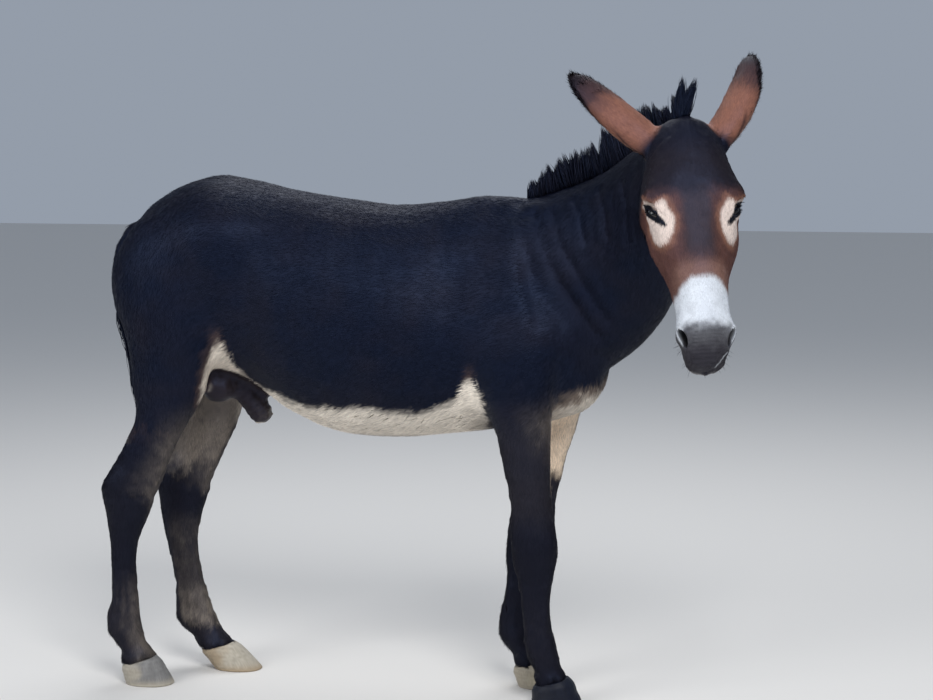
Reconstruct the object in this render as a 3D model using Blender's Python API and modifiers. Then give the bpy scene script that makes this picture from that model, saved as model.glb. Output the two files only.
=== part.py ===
"""A life-size still model of a standing black donkey, a jack, with its head turned to its right.

Metres, +Z up. +X runs forward along the trunk and +Y to the donkey's left. The floor is z = 0 and the
origin lies on it, under the middle of the model's box. The body is lofted as a few forms, joined into one
smooth mesh, and then parted into its named pieces by thin cuts. Ears, eyes, hooves, mane and tail are
pieces of their own.
"""

import math

import bmesh
import bpy
import numpy as np
from mathutils import Matrix, Vector

# Driving sizes ------------------------------------------------------------------------------------------
EAR_LENGTH = 0.255  # from the ear's base to its tip
EYE_RADIUS = 0.0205
HOOF_LENGTH = 0.122  # along the sole
GAP = 0.0010  # what two pieces that meet keep between them

# How fine the joined body is made, and what its pieces are thinned to.
VOXEL = 0.009
SMOOTHING_ROUNDS = 14
BODY_TRIANGLES = 4900
SCROTUM_TRIANGLES = 130

RING_POINTS = 28
FAR = 2.0  # past everything, for the cutters

# Tables of sections -------------------------------------------------------------------------------------
# Trunk, cut across X: x, top, widest level, bottom, half width, fullness above and below.
TRUNK = (
    (-0.625, 1.110, 1.010, 0.920, 0.060, 2.0, 2.0),  # under the tail
    (-0.600, 1.155, 1.015, 0.860, 0.115, 2.0, 2.0),
    (-0.540, 1.198, 1.040, 0.790, 0.160, 2.0, 2.0),  # croup's slope
    (-0.470, 1.232, 1.070, 0.765, 0.184, 1.9, 2.0),
    (-0.405, 1.244, 1.085, 0.760, 0.194, 1.9, 2.0),  # top of the croup, over the hip bones
    (-0.330, 1.233, 1.050, 0.738, 0.190, 1.9, 2.0),  # flank
    (-0.230, 1.213, 0.980, 0.674, 0.198, 1.9, 2.1),
    (-0.110, 1.193, 0.920, 0.626, 0.210, 1.9, 2.1),  # barrel
    (0.030, 1.178, 0.895, 0.614, 0.207, 1.8, 2.1),  # lowest point of the back
    (0.150, 1.187, 0.890, 0.626, 0.188, 1.7, 2.1),
    (0.260, 1.204, 0.890, 0.638, 0.166, 1.6, 2.0),  # withers and girth
    (0.360, 1.196, 0.890, 0.652, 0.152, 1.6, 2.0),
    (0.440, 1.120, 0.880, 0.672, 0.136, 1.8, 2.0),
    (0.500, 1.020, 0.860, 0.700, 0.112, 2.0, 2.0),  # breast
    (0.535, 0.930, 0.830, 0.745, 0.070, 2.0, 2.0),
)

# Neck, along its bent middle line: x, y, z, half depth above and below, half width.
NECK = (
    (0.300, 0.000, 0.950, 0.225, 0.230, 0.125),
    (0.420, 0.000, 0.995, 0.215, 0.240, 0.124),  # root
    (0.525, -0.032, 1.052, 0.194, 0.224, 0.112),
    (0.612, -0.088, 1.124, 0.168, 0.192, 0.098),
    (0.676, -0.155, 1.196, 0.145, 0.166, 0.088),
    (0.722, -0.222, 1.250, 0.128, 0.144, 0.082),  # throat latch
    (0.744, -0.275, 1.285, 0.110, 0.115, 0.078),
)

# Legs, cut level: height, rearmost x, foremost x, middle y, half width.
HIND_RIGHT = (
    (1.150, -0.585, -0.370, -0.085, 0.055),
    (1.060, -0.640, -0.335, -0.094, 0.085),  # hip
    (1.000, -0.654, -0.335, -0.099, 0.088),  # point of the buttock
    (0.940, -0.647, -0.342, -0.104, 0.088),
    (0.885, -0.624, -0.356, -0.110, 0.084),
    (0.838, -0.611, -0.374, -0.112, 0.077),  # stifle
    (0.778, -0.605, -0.402, -0.112, 0.066),
    (0.716, -0.600, -0.420, -0.111, 0.057),
    (0.664, -0.597, -0.452, -0.110, 0.050),  # gaskin
    (0.604, -0.626, -0.487, -0.109, 0.043),
    (0.560, -0.646, -0.506, -0.108, 0.038),
    (0.520, -0.674, -0.525, -0.107, 0.036),
    (0.488, -0.690, -0.541, -0.106, 0.039),  # point of the hock
    (0.454, -0.686, -0.554, -0.106, 0.040),
    (0.417, -0.678, -0.569, -0.105, 0.036),
    (0.380, -0.674, -0.586, -0.105, 0.030),
    (0.335, -0.671, -0.600, -0.104, 0.025),
    (0.265, -0.670, -0.602, -0.103, 0.023),  # cannon
    (0.200, -0.674, -0.598, -0.102, 0.025),
    (0.160, -0.685, -0.595, -0.102, 0.031),
    (0.137, -0.683, -0.592, -0.101, 0.032),  # fetlock
    (0.112, -0.669, -0.588, -0.101, 0.030),
    (0.088, -0.654, -0.574, -0.100, 0.032),  # pastern
    (0.066, -0.649, -0.557, -0.100, 0.040),
    (0.040, -0.649, -0.549, -0.100, 0.044),
)
HIND_LEFT = (
    (1.150, -0.585, -0.370, 0.085, 0.055),
    (1.060, -0.638, -0.333, 0.094, 0.085),
    (1.000, -0.650, -0.330, 0.099, 0.088),
    (0.940, -0.640, -0.332, 0.104, 0.088),
    (0.885, -0.616, -0.336, 0.108, 0.084),
    (0.830, -0.596, -0.342, 0.109, 0.077),  # stifle
    (0.770, -0.580, -0.354, 0.107, 0.067),
    (0.715, -0.566, -0.370, 0.104, 0.058),
    (0.665, -0.556, -0.388, 0.101, 0.051),  # gaskin
    (0.615, -0.556, -0.403, 0.097, 0.045),
    (0.575, -0.564, -0.423, 0.094, 0.040),
    (0.535, -0.587, -0.441, 0.091, 0.037),
    (0.498, -0.612, -0.459, 0.088, 0.038),  # point of the hock
    (0.462, -0.613, -0.472, 0.086, 0.040),
    (0.420, -0.608, -0.485, 0.084, 0.036),
    (0.374, -0.601, -0.497, 0.082, 0.030),
    (0.320, -0.590, -0.503, 0.080, 0.025),
    (0.260, -0.576, -0.496, 0.078, 0.023),  # cannon
    (0.200, -0.567, -0.481, 0.077, 0.025),
    (0.160, -0.568, -0.469, 0.076, 0.031),
    (0.132, -0.566, -0.460, 0.076, 0.032),  # fetlock
    (0.110, -0.553, -0.449, 0.075, 0.030),
    (0.088, -0.532, -0.434, 0.075, 0.032),  # pastern
    (0.066, -0.513, -0.413, 0.075, 0.040),
    (0.040, -0.496, -0.396, 0.075, 0.044),
)
FORE_RIGHT = (
    (0.980, 0.215, 0.430, -0.098, 0.050),
    (0.900, 0.220, 0.450, -0.112, 0.060),  # point of the shoulder
    (0.830, 0.236, 0.448, -0.118, 0.062),
    (0.763, 0.254, 0.434, -0.119, 0.059),  # elbow
    (0.700, 0.274, 0.431, -0.117, 0.054),
    (0.634, 0.293, 0.427, -0.115, 0.048),
    (0.570, 0.306, 0.426, -0.113, 0.043),  # forearm
    (0.510, 0.320, 0.427, -0.112, 0.038),
    (0.463, 0.326, 0.430, -0.111, 0.037),
    (0.428, 0.321, 0.435, -0.110, 0.039),
    (0.392, 0.326, 0.438, -0.109, 0.040),  # knee
    (0.360, 0.328, 0.440, -0.108, 0.038),
    (0.330, 0.332, 0.437, -0.107, 0.035),
    (0.296, 0.342, 0.429, -0.106, 0.029),
    (0.250, 0.349, 0.424, -0.105, 0.025),  # cannon
    (0.205, 0.354, 0.426, -0.104, 0.025),
    (0.168, 0.356, 0.431, -0.103, 0.029),
    (0.140, 0.360, 0.438, -0.102, 0.032),  # fetlock
    (0.116, 0.367, 0.441, -0.101, 0.030),
    (0.092, 0.376, 0.448, -0.100, 0.032),  # pastern
    (0.068, 0.382, 0.463, -0.100, 0.040),
    (0.042, 0.381, 0.474, -0.100, 0.044),
)
FORE_LEFT = (
    (0.980, 0.225, 0.440, 0.098, 0.050),
    (0.900, 0.232, 0.462, 0.112, 0.060),
    (0.830, 0.250, 0.474, 0.118, 0.062),
    (0.763, 0.270, 0.476, 0.119, 0.059),  # elbow
    (0.700, 0.294, 0.470, 0.114, 0.054),
    (0.639, 0.312, 0.458, 0.108, 0.048),
    (0.570, 0.318, 0.434, 0.102, 0.043),  # forearm
    (0.510, 0.314, 0.420, 0.096, 0.038),
    (0.463, 0.302, 0.407, 0.091, 0.037),
    (0.428, 0.292, 0.405, 0.087, 0.039),
    (0.392, 0.289, 0.402, 0.083, 0.040),  # knee
    (0.360, 0.284, 0.398, 0.080, 0.038),
    (0.330, 0.281, 0.389, 0.077, 0.035),
    (0.296, 0.283, 0.374, 0.073, 0.029),
    (0.250, 0.284, 0.358, 0.069, 0.025),  # cannon
    (0.205, 0.276, 0.353, 0.065, 0.025),
    (0.168, 0.268, 0.354, 0.062, 0.029),
    (0.140, 0.267, 0.357, 0.060, 0.032),  # fetlock
    (0.116, 0.276, 0.362, 0.058, 0.030),
    (0.092, 0.292, 0.373, 0.056, 0.032),  # pastern
    (0.068, 0.307, 0.390, 0.055, 0.040),
    (0.042, 0.308, 0.402, 0.055, 0.044),
)

# Hooves: middle of the sole, and of the coronet where the leg ends, as x and y.
SOLES = {
    "hoof_hind_right": (-0.574, -0.100),
    "hoof_hind_left": (-0.400, 0.075),
    "hoof_fore_right": (0.439, -0.100),
    "hoof_fore_left": (0.380, 0.055),
}
LEG_ENDS = {
    "hindleg_right": (-0.601, -0.100),
    "hindleg_left": (-0.456, 0.075),
    "foreleg_right": (0.425, -0.100),
    "foreleg_left": (0.350, 0.055),
}
HOOF_HALF_WIDTH = 0.047
HOOF_EDGE = 0.002  # bevel round the sole
CORONET_HEIGHT = 0.058
CORONET_SLOPE = 0.22
CORONET_HALF_LENGTH = 0.045
CORONET_HALF_WIDTH = 0.0405
CORONET_BULGE = 0.002

EYE = (0.200, 0.086, -0.050)  # middle of the left eye, in the head's frame
SIDES = {"left": 1, "right": -1}

# Tail, hanging against the buttocks: x, y, z, half depth behind and before, half width.
TAIL = (
    (-0.585, 0.000, 1.124, 0.024, 0.024, 0.028),
    (-0.628, 0.000, 1.104, 0.027, 0.027, 0.031),  # root
    (-0.656, 0.000, 1.058, 0.027, 0.027, 0.030),
    (-0.670, -0.002, 1.000, 0.024, 0.024, 0.027),
    (-0.657, -0.006, 0.930, 0.021, 0.021, 0.025),
    (-0.638, -0.010, 0.860, 0.020, 0.020, 0.027),
    (-0.626, -0.014, 0.790, 0.021, 0.021, 0.033),  # the switch begins
    (-0.621, -0.018, 0.730, 0.021, 0.021, 0.036),
    (-0.618, -0.022, 0.680, 0.019, 0.019, 0.030),
    (-0.616, -0.026, 0.648, 0.006, 0.006, 0.010),
)

# Sheath, hanging forward from the groin: x, y, z, half thickness above and below, half width.
SHEATH = (
    (-0.420, 0.000, 0.790, 0.022, 0.022, 0.026),
    (-0.378, 0.000, 0.737, 0.028, 0.028, 0.028),
    (-0.342, 0.000, 0.700, 0.031, 0.031, 0.030),
    (-0.315, 0.000, 0.669, 0.034, 0.034, 0.033),
    (-0.303, 0.000, 0.652, 0.030, 0.030, 0.030),
    (-0.297, 0.000, 0.641, 0.018, 0.018, 0.018),
)
SCROTUM = (-0.412, 0.030, 0.726)  # middle of its left half
SCROTUM_HALF = (0.046, 0.036, 0.040)

# Ears: share of the length, radius of the curled section, half the angle it spans, wall.
EAR = (
    (-0.22, 0.016, 165.0, 0.009),  # inside the head, and cut off there
    (-0.08, 0.030, 165.0, 0.010),
    (0.03, 0.038, 165.0, 0.010),
    (0.12, 0.043, 158.0, 0.008),
    (0.25, 0.044, 138.0, 0.006),
    (0.40, 0.042, 116.0, 0.005),
    (0.55, 0.040, 100.0, 0.005),
    (0.70, 0.036, 88.0, 0.005),
    (0.84, 0.030, 78.0, 0.004),
    (0.94, 0.020, 70.0, 0.004),
    (1.00, 0.008, 60.0, 0.003),
)
EAR_FLATNESS = 0.72  # depth of the curl against its width
EAR_BASES = {"left": (0.024, 0.068, -0.074), "right": (0.024, -0.068, -0.074)}
EAR_TIPS = {"left": (0.873, -0.105, 1.518), "right": (0.482, -0.225, 1.475)}
EAR_OPENINGS = {"left": (0.30, 0.95, -0.30), "right": (-0.35, 0.90, -0.35)}
EAR_BOWS = {"left": -0.018, "right": 0.002}  # how far the middle bends sideways

# Mane: share of the way along the crest, height of the hair, half width at the root.
MANE = (
    (0.16, 0.014, 0.008),
    (0.22, 0.036, 0.014),
    (0.32, 0.062, 0.018),
    (0.47, 0.086, 0.020),
    (0.62, 0.100, 0.021),
    (0.80, 0.090, 0.020),
    (0.93, 0.076, 0.018),
)
MANE_TOOTH = 0.010  # how far every other lock stands above the next
FORELOCK_LEAN = (0.30, 0.10, 1.00)
FORELOCK_HEIGHT = 0.135  # from the root inside the head
# share of the height, half width, half depth
FORELOCK = ((0, 0.030, 0.026), (0.35, 0.030, 0.024), (0.7, 0.020, 0.014), (1, 0.004, 0.003))

# Where the body is parted: a point of each plane and the way it faces.
HEAD_PLANE = ((0.735, -0.245, 1.300), (0.16, -0.86, 0.18))
NECK_PLANE = ((0.330, 0.000, 1.220), (0.895, 0.000, 0.445))
# Legs: rearmost and foremost x, the height of the cut between the legs and at the body's side.
LEG_CUTS = {
    "foreleg": (0.190, 0.560, 0.600, 0.830),
    "hindleg": (-0.760, -0.325, 0.700, 0.930),
}
BETWEEN = 0.035  # half the space between the legs of a pair
SIDE = 0.30  # past the body's side

# Head, in its own frame: distance from the poll down the face, then depths behind the line of the face
# (top, widest, bottom), half width, fullness above and below.
HEAD = (
    (-0.035, -0.045, -0.085, -0.130, 0.040, 2.0, 2.0),
    (-0.012, -0.012, -0.080, -0.170, 0.066, 2.0, 2.0),  # poll
    (0.035, 0.002, -0.075, -0.205, 0.082, 2.1, 2.2),
    (0.090, 0.009, -0.062, -0.222, 0.096, 2.2, 2.3),  # forehead
    (0.140, 0.011, -0.048, -0.226, 0.107, 2.3, 2.3),
    (0.180, 0.009, -0.042, -0.218, 0.111, 2.4, 2.2),  # brows
    (0.220, 0.005, -0.055, -0.206, 0.099, 2.3, 2.2),  # eyes
    (0.265, 0.001, -0.078, -0.190, 0.091, 2.1, 2.3),
    (0.315, -0.001, -0.078, -0.166, 0.078, 2.1, 2.4),
    (0.365, -0.002, -0.066, -0.143, 0.064, 2.2, 2.5),  # bars of the jaw
    (0.415, -0.003, -0.060, -0.130, 0.058, 2.3, 2.5),
    (0.455, -0.005, -0.055, -0.126, 0.058, 2.3, 2.5),
    (0.490, -0.013, -0.056, -0.128, 0.057, 2.3, 2.5),  # nostrils
    (0.520, -0.032, -0.068, -0.126, 0.049, 2.3, 2.5),
    (0.543, -0.056, -0.084, -0.120, 0.038, 2.2, 2.3),  # lips
    (0.555, -0.076, -0.092, -0.108, 0.016, 2.0, 2.0),
)
POLL = Vector((0.752, -0.330, 1.383))
HEAD_TURN = math.radians(13.3)  # how far the nose points ahead of the donkey's right
FACE_SLOPE = math.radians(29.0)  # the face's line from the plumb line
HEAD_ROLL = math.radians(-1.8)

# Swellings and hollows of the body, on both sides: place, radii, push along the skin's normal.
BODY_SWELLS = (
    ((0.330, 0.120, 1.050), (0.050, 0.080, 0.130), 0.010),  # shoulder blade
    ((0.190, 0.170, 0.960), (0.050, 0.080, 0.140), -0.008),  # behind the shoulder
    ((0.270, 0.150, 0.840), (0.090, 0.060, 0.080), 0.013),  # triceps
    ((0.450, 0.110, 0.870), (0.050, 0.050, 0.055), 0.010),  # point of the shoulder
    ((0.505, 0.055, 0.800), (0.050, 0.040, 0.080), 0.010),  # breast
    ((0.545, 0.000, 0.800), (0.050, 0.018, 0.090), -0.007),  # groove of the breast
    ((-0.350, 0.150, 1.130), (0.055, 0.050, 0.040), 0.009),  # hip bone
    ((-0.300, 0.170, 1.000), (0.050, 0.070, 0.090), -0.012),  # hollow of the flank
    ((-0.520, 0.170, 1.010), (0.110, 0.070, 0.120), 0.008),  # haunch
    ((-0.400, 0.180, 0.800), (0.050, 0.050, 0.060), 0.007),  # stifle
)

# Swellings and hollows of the head: place in its frame, radii, push.
HEAD_SWELLS = (
    ((0.172, 0.098, -0.024), (0.026, 0.020, 0.020), 0.009),  # brow ridge
    ((0.120, 0.092, -0.050), (0.040, 0.030, 0.022), -0.008),  # hollow above the eye
    ((0.206, 0.100, -0.054), (0.026, 0.026, 0.017), -0.008),  # socket
    ((0.262, 0.088, -0.088), (0.060, 0.030, 0.012), 0.008),  # facial crest
    ((0.330, 0.060, -0.040), (0.055, 0.026, 0.018), -0.005),  # side of the nose
    ((0.175, 0.080, -0.165), (0.070, 0.045, 0.050), 0.013),  # cheek
    ((0.115, 0.070, -0.215), (0.045, 0.040, 0.035), 0.008),  # angle of the jaw
    ((0.310, 0.060, -0.125), (0.060, 0.030, 0.022), -0.006),  # before the cheek
    ((0.478, 0.058, -0.046), (0.022, 0.020, 0.024), 0.006),  # wing of the nostril
    ((0.500, 0.000, -0.135), (0.024, 0.030, 0.016), 0.009),  # chin
    ((0.455, 0.055, -0.098), (0.045, 0.020, 0.014), -0.005),  # corner of the mouth
)


# Finishes: colour and roughness, by the first word of a piece's name.
FINISHES = {
    "head": ((0.090, 0.060, 0.045), 0.70),
    "ear": ((0.210, 0.110, 0.070), 0.75),
    "eye": ((0.015, 0.010, 0.008), 0.12),
    "hoof": ((0.300, 0.260, 0.200), 0.55),
    "mane": ((0.012, 0.012, 0.016), 0.75),
    "forelock": ((0.012, 0.012, 0.016), 0.75),
    "tail": ((0.015, 0.015, 0.018), 0.75),
    "scrotum": ((0.035, 0.028, 0.025), 0.50),
    "sheath": ((0.030, 0.024, 0.024), 0.50),
}
COAT = ((0.030, 0.031, 0.037), 0.60)


def finish(name):
    """A plain material in the piece's own colour."""
    colour, roughness = FINISHES.get(name.split("_")[0], COAT)
    made = bpy.data.materials.new(name)
    made.use_nodes = True
    shader = made.node_tree.nodes["Principled BSDF"]
    shader.inputs["Base Color"].default_value = (*colour, 1.0)
    shader.inputs["Roughness"].default_value = roughness
    shader.inputs["Metallic"].default_value = 0.0
    return made


# Frames and sections ------------------------------------------------------------------------------------
def head_axes():
    """The head's own directions: down the face, to its left, and out of the face."""
    heading = Vector((math.sin(HEAD_TURN), -math.cos(HEAD_TURN), 0.0))
    level_left = Vector((0, 0, 1)).cross(heading)
    down = heading * math.sin(FACE_SLOPE) - Vector((0, 0, math.cos(FACE_SLOPE)))
    out = heading * math.cos(FACE_SLOPE) + Vector((0, 0, math.sin(FACE_SLOPE)))
    left = level_left * math.cos(HEAD_ROLL) + down * math.sin(HEAD_ROLL)
    return down * math.cos(HEAD_ROLL) - level_left * math.sin(HEAD_ROLL), left, out


DOWN_FACE, HEAD_LEFT, OUT_OF_FACE = head_axes()


def on_head(down, left, out):
    """A place given in the head's frame, as a point of the drawing."""
    return POLL + DOWN_FACE * down + HEAD_LEFT * left + OUT_OF_FACE * out


def smooth_rows(rows, steps):
    """The rows of a table with steps - 1 more between each pair, on a smooth curve through them."""
    table = np.array(rows, float)
    gaps = np.abs(np.diff(table[:, 0])) + np.linalg.norm(np.diff(table[:, 1:3], axis=0), axis=1)
    at = np.concatenate([[0.0], np.cumsum(gaps)])
    slopes = np.gradient(table, at, axis=0)
    made = []
    for i, gap in enumerate(gaps):
        for t in np.linspace(0, 1, steps, endpoint=False):
            a, b = table[i], table[i + 1]
            p, q = slopes[i] * gap, slopes[i + 1] * gap
            made.append(
                (2 * t**3 - 3 * t**2 + 1) * a + (t**3 - 2 * t**2 + t) * p
                + (3 * t**2 - 2 * t**3) * b + (t**3 - t**2) * q
            )
    made.append(table[-1])
    return made


def section(middle, side, up, half_width, above, below, full_above=2.0, full_below=2.0, count=RING_POINTS):
    """One closed ring: an oval with its own height and fullness above and below its widest level."""
    points = []
    for k in range(count):
        angle = 2 * math.pi * (k + 0.5) / count
        c, s = math.cos(angle), math.sin(angle)
        power = 2 / (full_above if s > 0 else full_below)
        across = half_width * math.copysign(abs(c) ** power, c)
        along = (above if s > 0 else below) * math.copysign(abs(s) ** power, s)
        points.append(Vector(middle) + Vector(side) * across + Vector(up) * along)
    return points


def loft(rings):
    """A closed mesh through rings of as many points each, with a flat cap at both ends."""
    mesh = bmesh.new()
    rows = [[mesh.verts.new(p) for p in ring] for ring in rings]
    count = len(rows[0])
    for low, high in zip(rows, rows[1:]):
        for k in range(count):
            n = (k + 1) % count
            mesh.faces.new((low[k], low[n], high[n], high[k]))
    mesh.faces.new(rows[0][::-1])
    mesh.faces.new(rows[-1])
    bmesh.ops.recalc_face_normals(mesh, faces=mesh.faces)
    return mesh


def along_path(rows, steps, up_hint, count=RING_POINTS):
    """Rings across a bent middle line. Each row is x, y, z, above, below, half width."""
    table = smooth_rows(rows, steps)
    places = [Vector(row[:3]) for row in table]
    rings = []
    for i, row in enumerate(table):
        ahead = (places[min(i + 1, len(places) - 1)] - places[max(i - 1, 0)]).normalized()
        up = (up_hint - ahead * up_hint.dot(ahead)).normalized()
        side = ahead.cross(up)
        rings.append(section(places[i], side, up, row[5], row[3], row[4], count=count))
    return rings


# Forms of the body --------------------------------------------------------------------------------------
def trunk_form():
    """The barrel from the buttocks to the breast."""
    return loft([
        section((x, 0, widest), (0, 1, 0), (0, 0, 1), half, top - widest, widest - bottom, above, below)
        for x, top, widest, bottom, half, above, below in smooth_rows(TRUNK, 3)
    ])


def neck_form():
    """The neck, bent to the right towards the head."""
    return loft(along_path(NECK, 4, Vector((0, 0, 1))))


def head_form():
    """The head from the poll to the lips."""
    rings = []
    for down, top, widest, bottom, half, above, below in smooth_rows(HEAD, 3):
        middle = on_head(down, 0, widest)
        rings.append(
            section(middle, HEAD_LEFT, OUT_OF_FACE, half, top - widest, widest - bottom, above, below)
        )
    return loft(rings)


def leg_form(rows):
    """A leg from its level sections."""
    rings = []
    for height, back, front, y, half in smooth_rows(rows, 3):
        middle = ((back + front) / 2, y, height)
        rings.append(section(middle, (1, 0, 0), (0, 1, 0), (front - back) / 2, half, half))
    return loft(rings)


def object_from(name, mesh):
    """An object of the scene made from a bmesh, which is freed."""
    data = bpy.data.meshes.new(name)
    mesh.to_mesh(data)
    mesh.free()
    made = bpy.data.objects.new(name, data)
    bpy.context.scene.collection.objects.link(made)
    return made


def applied(obj):
    """Writes the object's modifiers into its mesh."""
    graph = bpy.context.evaluated_depsgraph_get()
    data = bpy.data.meshes.new_from_object(obj.evaluated_get(graph))
    obj.modifiers.clear()
    obj.data = data
    return obj


def coordinates(obj):
    """The object's points and normals as arrays."""
    count = len(obj.data.vertices)
    points, normals = np.empty(count * 3), np.empty(count * 3)
    obj.data.vertices.foreach_get("co", points)
    obj.data.vertex_normals.foreach_get("vector", normals)
    return points.reshape(-1, 3), normals.reshape(-1, 3)


def set_coordinates(obj, points):
    """Moves the object's points."""
    obj.data.vertices.foreach_set("co", np.ascontiguousarray(points, np.float32).ravel())
    obj.data.update()


def together(forms):
    """One mesh of several, which are freed."""
    whole = bmesh.new()
    for form in forms:
        data = bpy.data.meshes.new("form")
        form.to_mesh(data)
        form.free()
        whole.from_mesh(data)
        bpy.data.meshes.remove(data)
    return whole


def remeshed(obj, voxel):
    """The object's overlapping shells, as one skin round them all."""
    remesh = obj.modifiers.new("join", "REMESH")
    remesh.mode = "VOXEL"
    remesh.voxel_size = voxel
    return applied(obj)


def joined_body():
    """All forms of flesh in one object, remeshed so that they flow into each other."""
    forms = [trunk_form(), neck_form(), head_form()]
    forms += [leg_form(rows) for rows in (HIND_RIGHT, HIND_LEFT, FORE_RIGHT, FORE_LEFT)]
    return remeshed(object_from("body", together(forms)), VOXEL)


def softness(points):
    """How strongly each point is smoothed: most where the big masses meet, least on face and legs."""
    height = points[:, 2]
    on_body = np.clip((height - 0.50) / 0.25, 0, 1)
    middle = np.array(on_head(0.28, 0, -0.07))
    from_head = np.linalg.norm(points - middle, axis=1)
    return (0.12 + 0.88 * on_body) * np.clip((from_head - 0.20) / 0.14, 0.12, 1)


def smoothed(body, rounds):
    """Rounds the seams between the forms, by each point's softness."""
    group = body.vertex_groups.new(name="soft")
    for index, weight in enumerate(softness(coordinates(body)[0])):
        group.add([index], float(weight), "REPLACE")
    smooth = body.modifiers.new("smooth", "SMOOTH")
    smooth.factor = 0.5
    smooth.iterations = rounds
    smooth.vertex_group = "soft"
    return applied(body)


def swell(points, normals, middle, axes, radii, push):
    """Pushes the points near a place out along their normals, fading like a bell."""
    away = (points - np.array(middle)) @ np.array(axes).T / np.array(radii)
    return points + normals * (push * np.exp(-(away**2).sum(axis=1)))[:, None]


def modelled(body):
    """The body's muscles and hollows, then those of the head."""
    points, normals = coordinates(body)
    for (x, y, z), radii, push in BODY_SWELLS:
        for side in {-1, 1} if y else {1}:
            points = swell(points, normals, (x, side * y, z), np.eye(3), radii, push)
    axes = (DOWN_FACE, HEAD_LEFT, OUT_OF_FACE)
    for (down, left, out), radii, push in HEAD_SWELLS:
        for side in {-1, 1} if left else {1}:
            points = swell(points, normals, on_head(down, side * left, out), axes, radii, push)
    set_coordinates(body, points)


def thinned(obj, triangles):
    """The object's mesh collapsed to about this many triangles."""
    faces = sum(len(p.vertices) - 2 for p in obj.data.polygons)
    collapse = obj.modifiers.new("thin", "DECIMATE")
    collapse.ratio = triangles / faces
    return applied(obj)


# Pieces of their own ------------------------------------------------------------------------------------
def ear_form(side):
    """An ear: a curled leaf, nearly closed at its foot, with its opening turned outwards and back."""
    foot, tip = on_head(*EAR_BASES[side]), Vector(EAR_TIPS[side])
    axis = (tip - foot).normalized()
    opening = Vector(EAR_OPENINGS[side])
    opening = (opening - axis * opening.dot(axis)).normalized()
    across = axis.cross(opening)
    rings = []
    for share, radius, half_angle, wall in EAR:
        bow = across * (EAR_BOWS[side] * math.sin(math.pi * max(share, 0.0)))
        middle = foot + axis * (EAR_LENGTH * share) + bow
        angles = np.radians(np.linspace(-half_angle, half_angle, 7))
        outer = [(radius, a) for a in angles]
        inner = [(radius - wall, a) for a in angles[::-1]]
        rings.append([
            middle + across * (r * math.sin(a)) - opening * (r * math.cos(a) * EAR_FLATNESS)
            for r, a in outer + inner
        ])
    return loft(rings)


def crest_line(share):
    """A place along the crest of the neck, and the way up from it."""
    table = smooth_rows(NECK, 8)
    places = [Vector(row[:3]) for row in table]
    at = 1.0 + share * (len(places) - 2)
    i = min(int(at), len(places) - 2)
    ahead = (places[i + 1] - places[i]).normalized()
    up = (Vector((0, 0, 1)) - ahead * ahead.z).normalized()
    middle = places[i].lerp(places[i + 1], at - i)
    above = table[i][3] + (table[i + 1][3] - table[i][3]) * (at - i)
    return middle + up * above, up, ahead.cross(up)


def mane_form():
    """The short upright mane along the crest, its top edge toothed by the locks."""
    rings = []
    for i, (share, height, half) in enumerate(smooth_rows(MANE, 3)):
        root, up, side = crest_line(share)
        tooth = MANE_TOOTH * (i % 2) * height / MANE[-1][1]
        rings.append(section(root, side, up, half, height + tooth, 0.022, 1.3, 2.0, 10))
    return loft(rings)


def forelock_form():
    """The tuft that stands between the ears."""
    root = on_head(-0.006, -0.028, -0.060)
    up = Vector(FORELOCK_LEAN).normalized()
    side = (HEAD_LEFT - up * HEAD_LEFT.dot(up)).normalized()
    front = up.cross(side)
    rings = []
    for share, half_width, half_depth in FORELOCK:
        middle = root + up * (FORELOCK_HEIGHT * share)
        rings.append(section(middle, side, front, half_width, half_depth, half_depth, count=12))
    return loft(rings)


def eye_form(side):
    """The ball of an eye."""
    mesh = bmesh.new()
    bmesh.ops.create_uvsphere(mesh, u_segments=12, v_segments=8, radius=EYE_RADIUS)
    bmesh.ops.translate(mesh, verts=mesh.verts, vec=on_head(EYE[0], side * EYE[1], EYE[2]))
    return mesh


def coronet_height(x, middle):
    """The height of the slanted plane where the hoof meets the leg: higher at the toe."""
    return CORONET_HEIGHT + CORONET_SLOPE * (x - middle)


def hoof_form(sole, leg_end):
    """A hoof: a flat sole, and a wall that slopes back to the coronet."""
    top_x, top_y = leg_end
    sole_x, sole_y = sole
    rings = []
    for share in (0.0, 0.04, 0.50, 0.92, 1.0):
        bevel = HOOF_EDGE * (share == 0.0)
        x = sole_x + (top_x - sole_x) * share
        y = sole_y + (top_y - sole_y) * share
        swell_out = CORONET_BULGE * math.sin(math.pi * min(share, 0.92) / 0.92 * 0.5) ** 4
        half_length = HOOF_LENGTH / 2 + (CORONET_HALF_LENGTH - HOOF_LENGTH / 2) * share + swell_out - bevel
        half_width = HOOF_HALF_WIDTH + (CORONET_HALF_WIDTH - HOOF_HALF_WIDTH) * share + swell_out - bevel
        ring = section((x, y, 0), (1, 0, 0), (0, 1, 0), half_length, half_width, half_width, 2.3, 2.3, 16)
        for point in ring:
            point.z = share * (coronet_height(point.x, top_x) - GAP)
        rings.append(ring)
    return loft(rings)


def scrotum_object():
    """The two halves of the scrotum, run together."""
    halves = []
    for side in (-1, 1):
        half = bmesh.new()
        bmesh.ops.create_uvsphere(half, u_segments=20, v_segments=12, radius=1.0)
        bmesh.ops.scale(half, verts=half.verts, vec=SCROTUM_HALF)
        bmesh.ops.translate(half, verts=half.verts, vec=(SCROTUM[0], side * SCROTUM[1], SCROTUM[2]))
        halves.append(half)
    both = remeshed(object_from("scrotum", together(halves)), 0.006)
    return thinned(both, SCROTUM_TRIANGLES)


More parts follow.
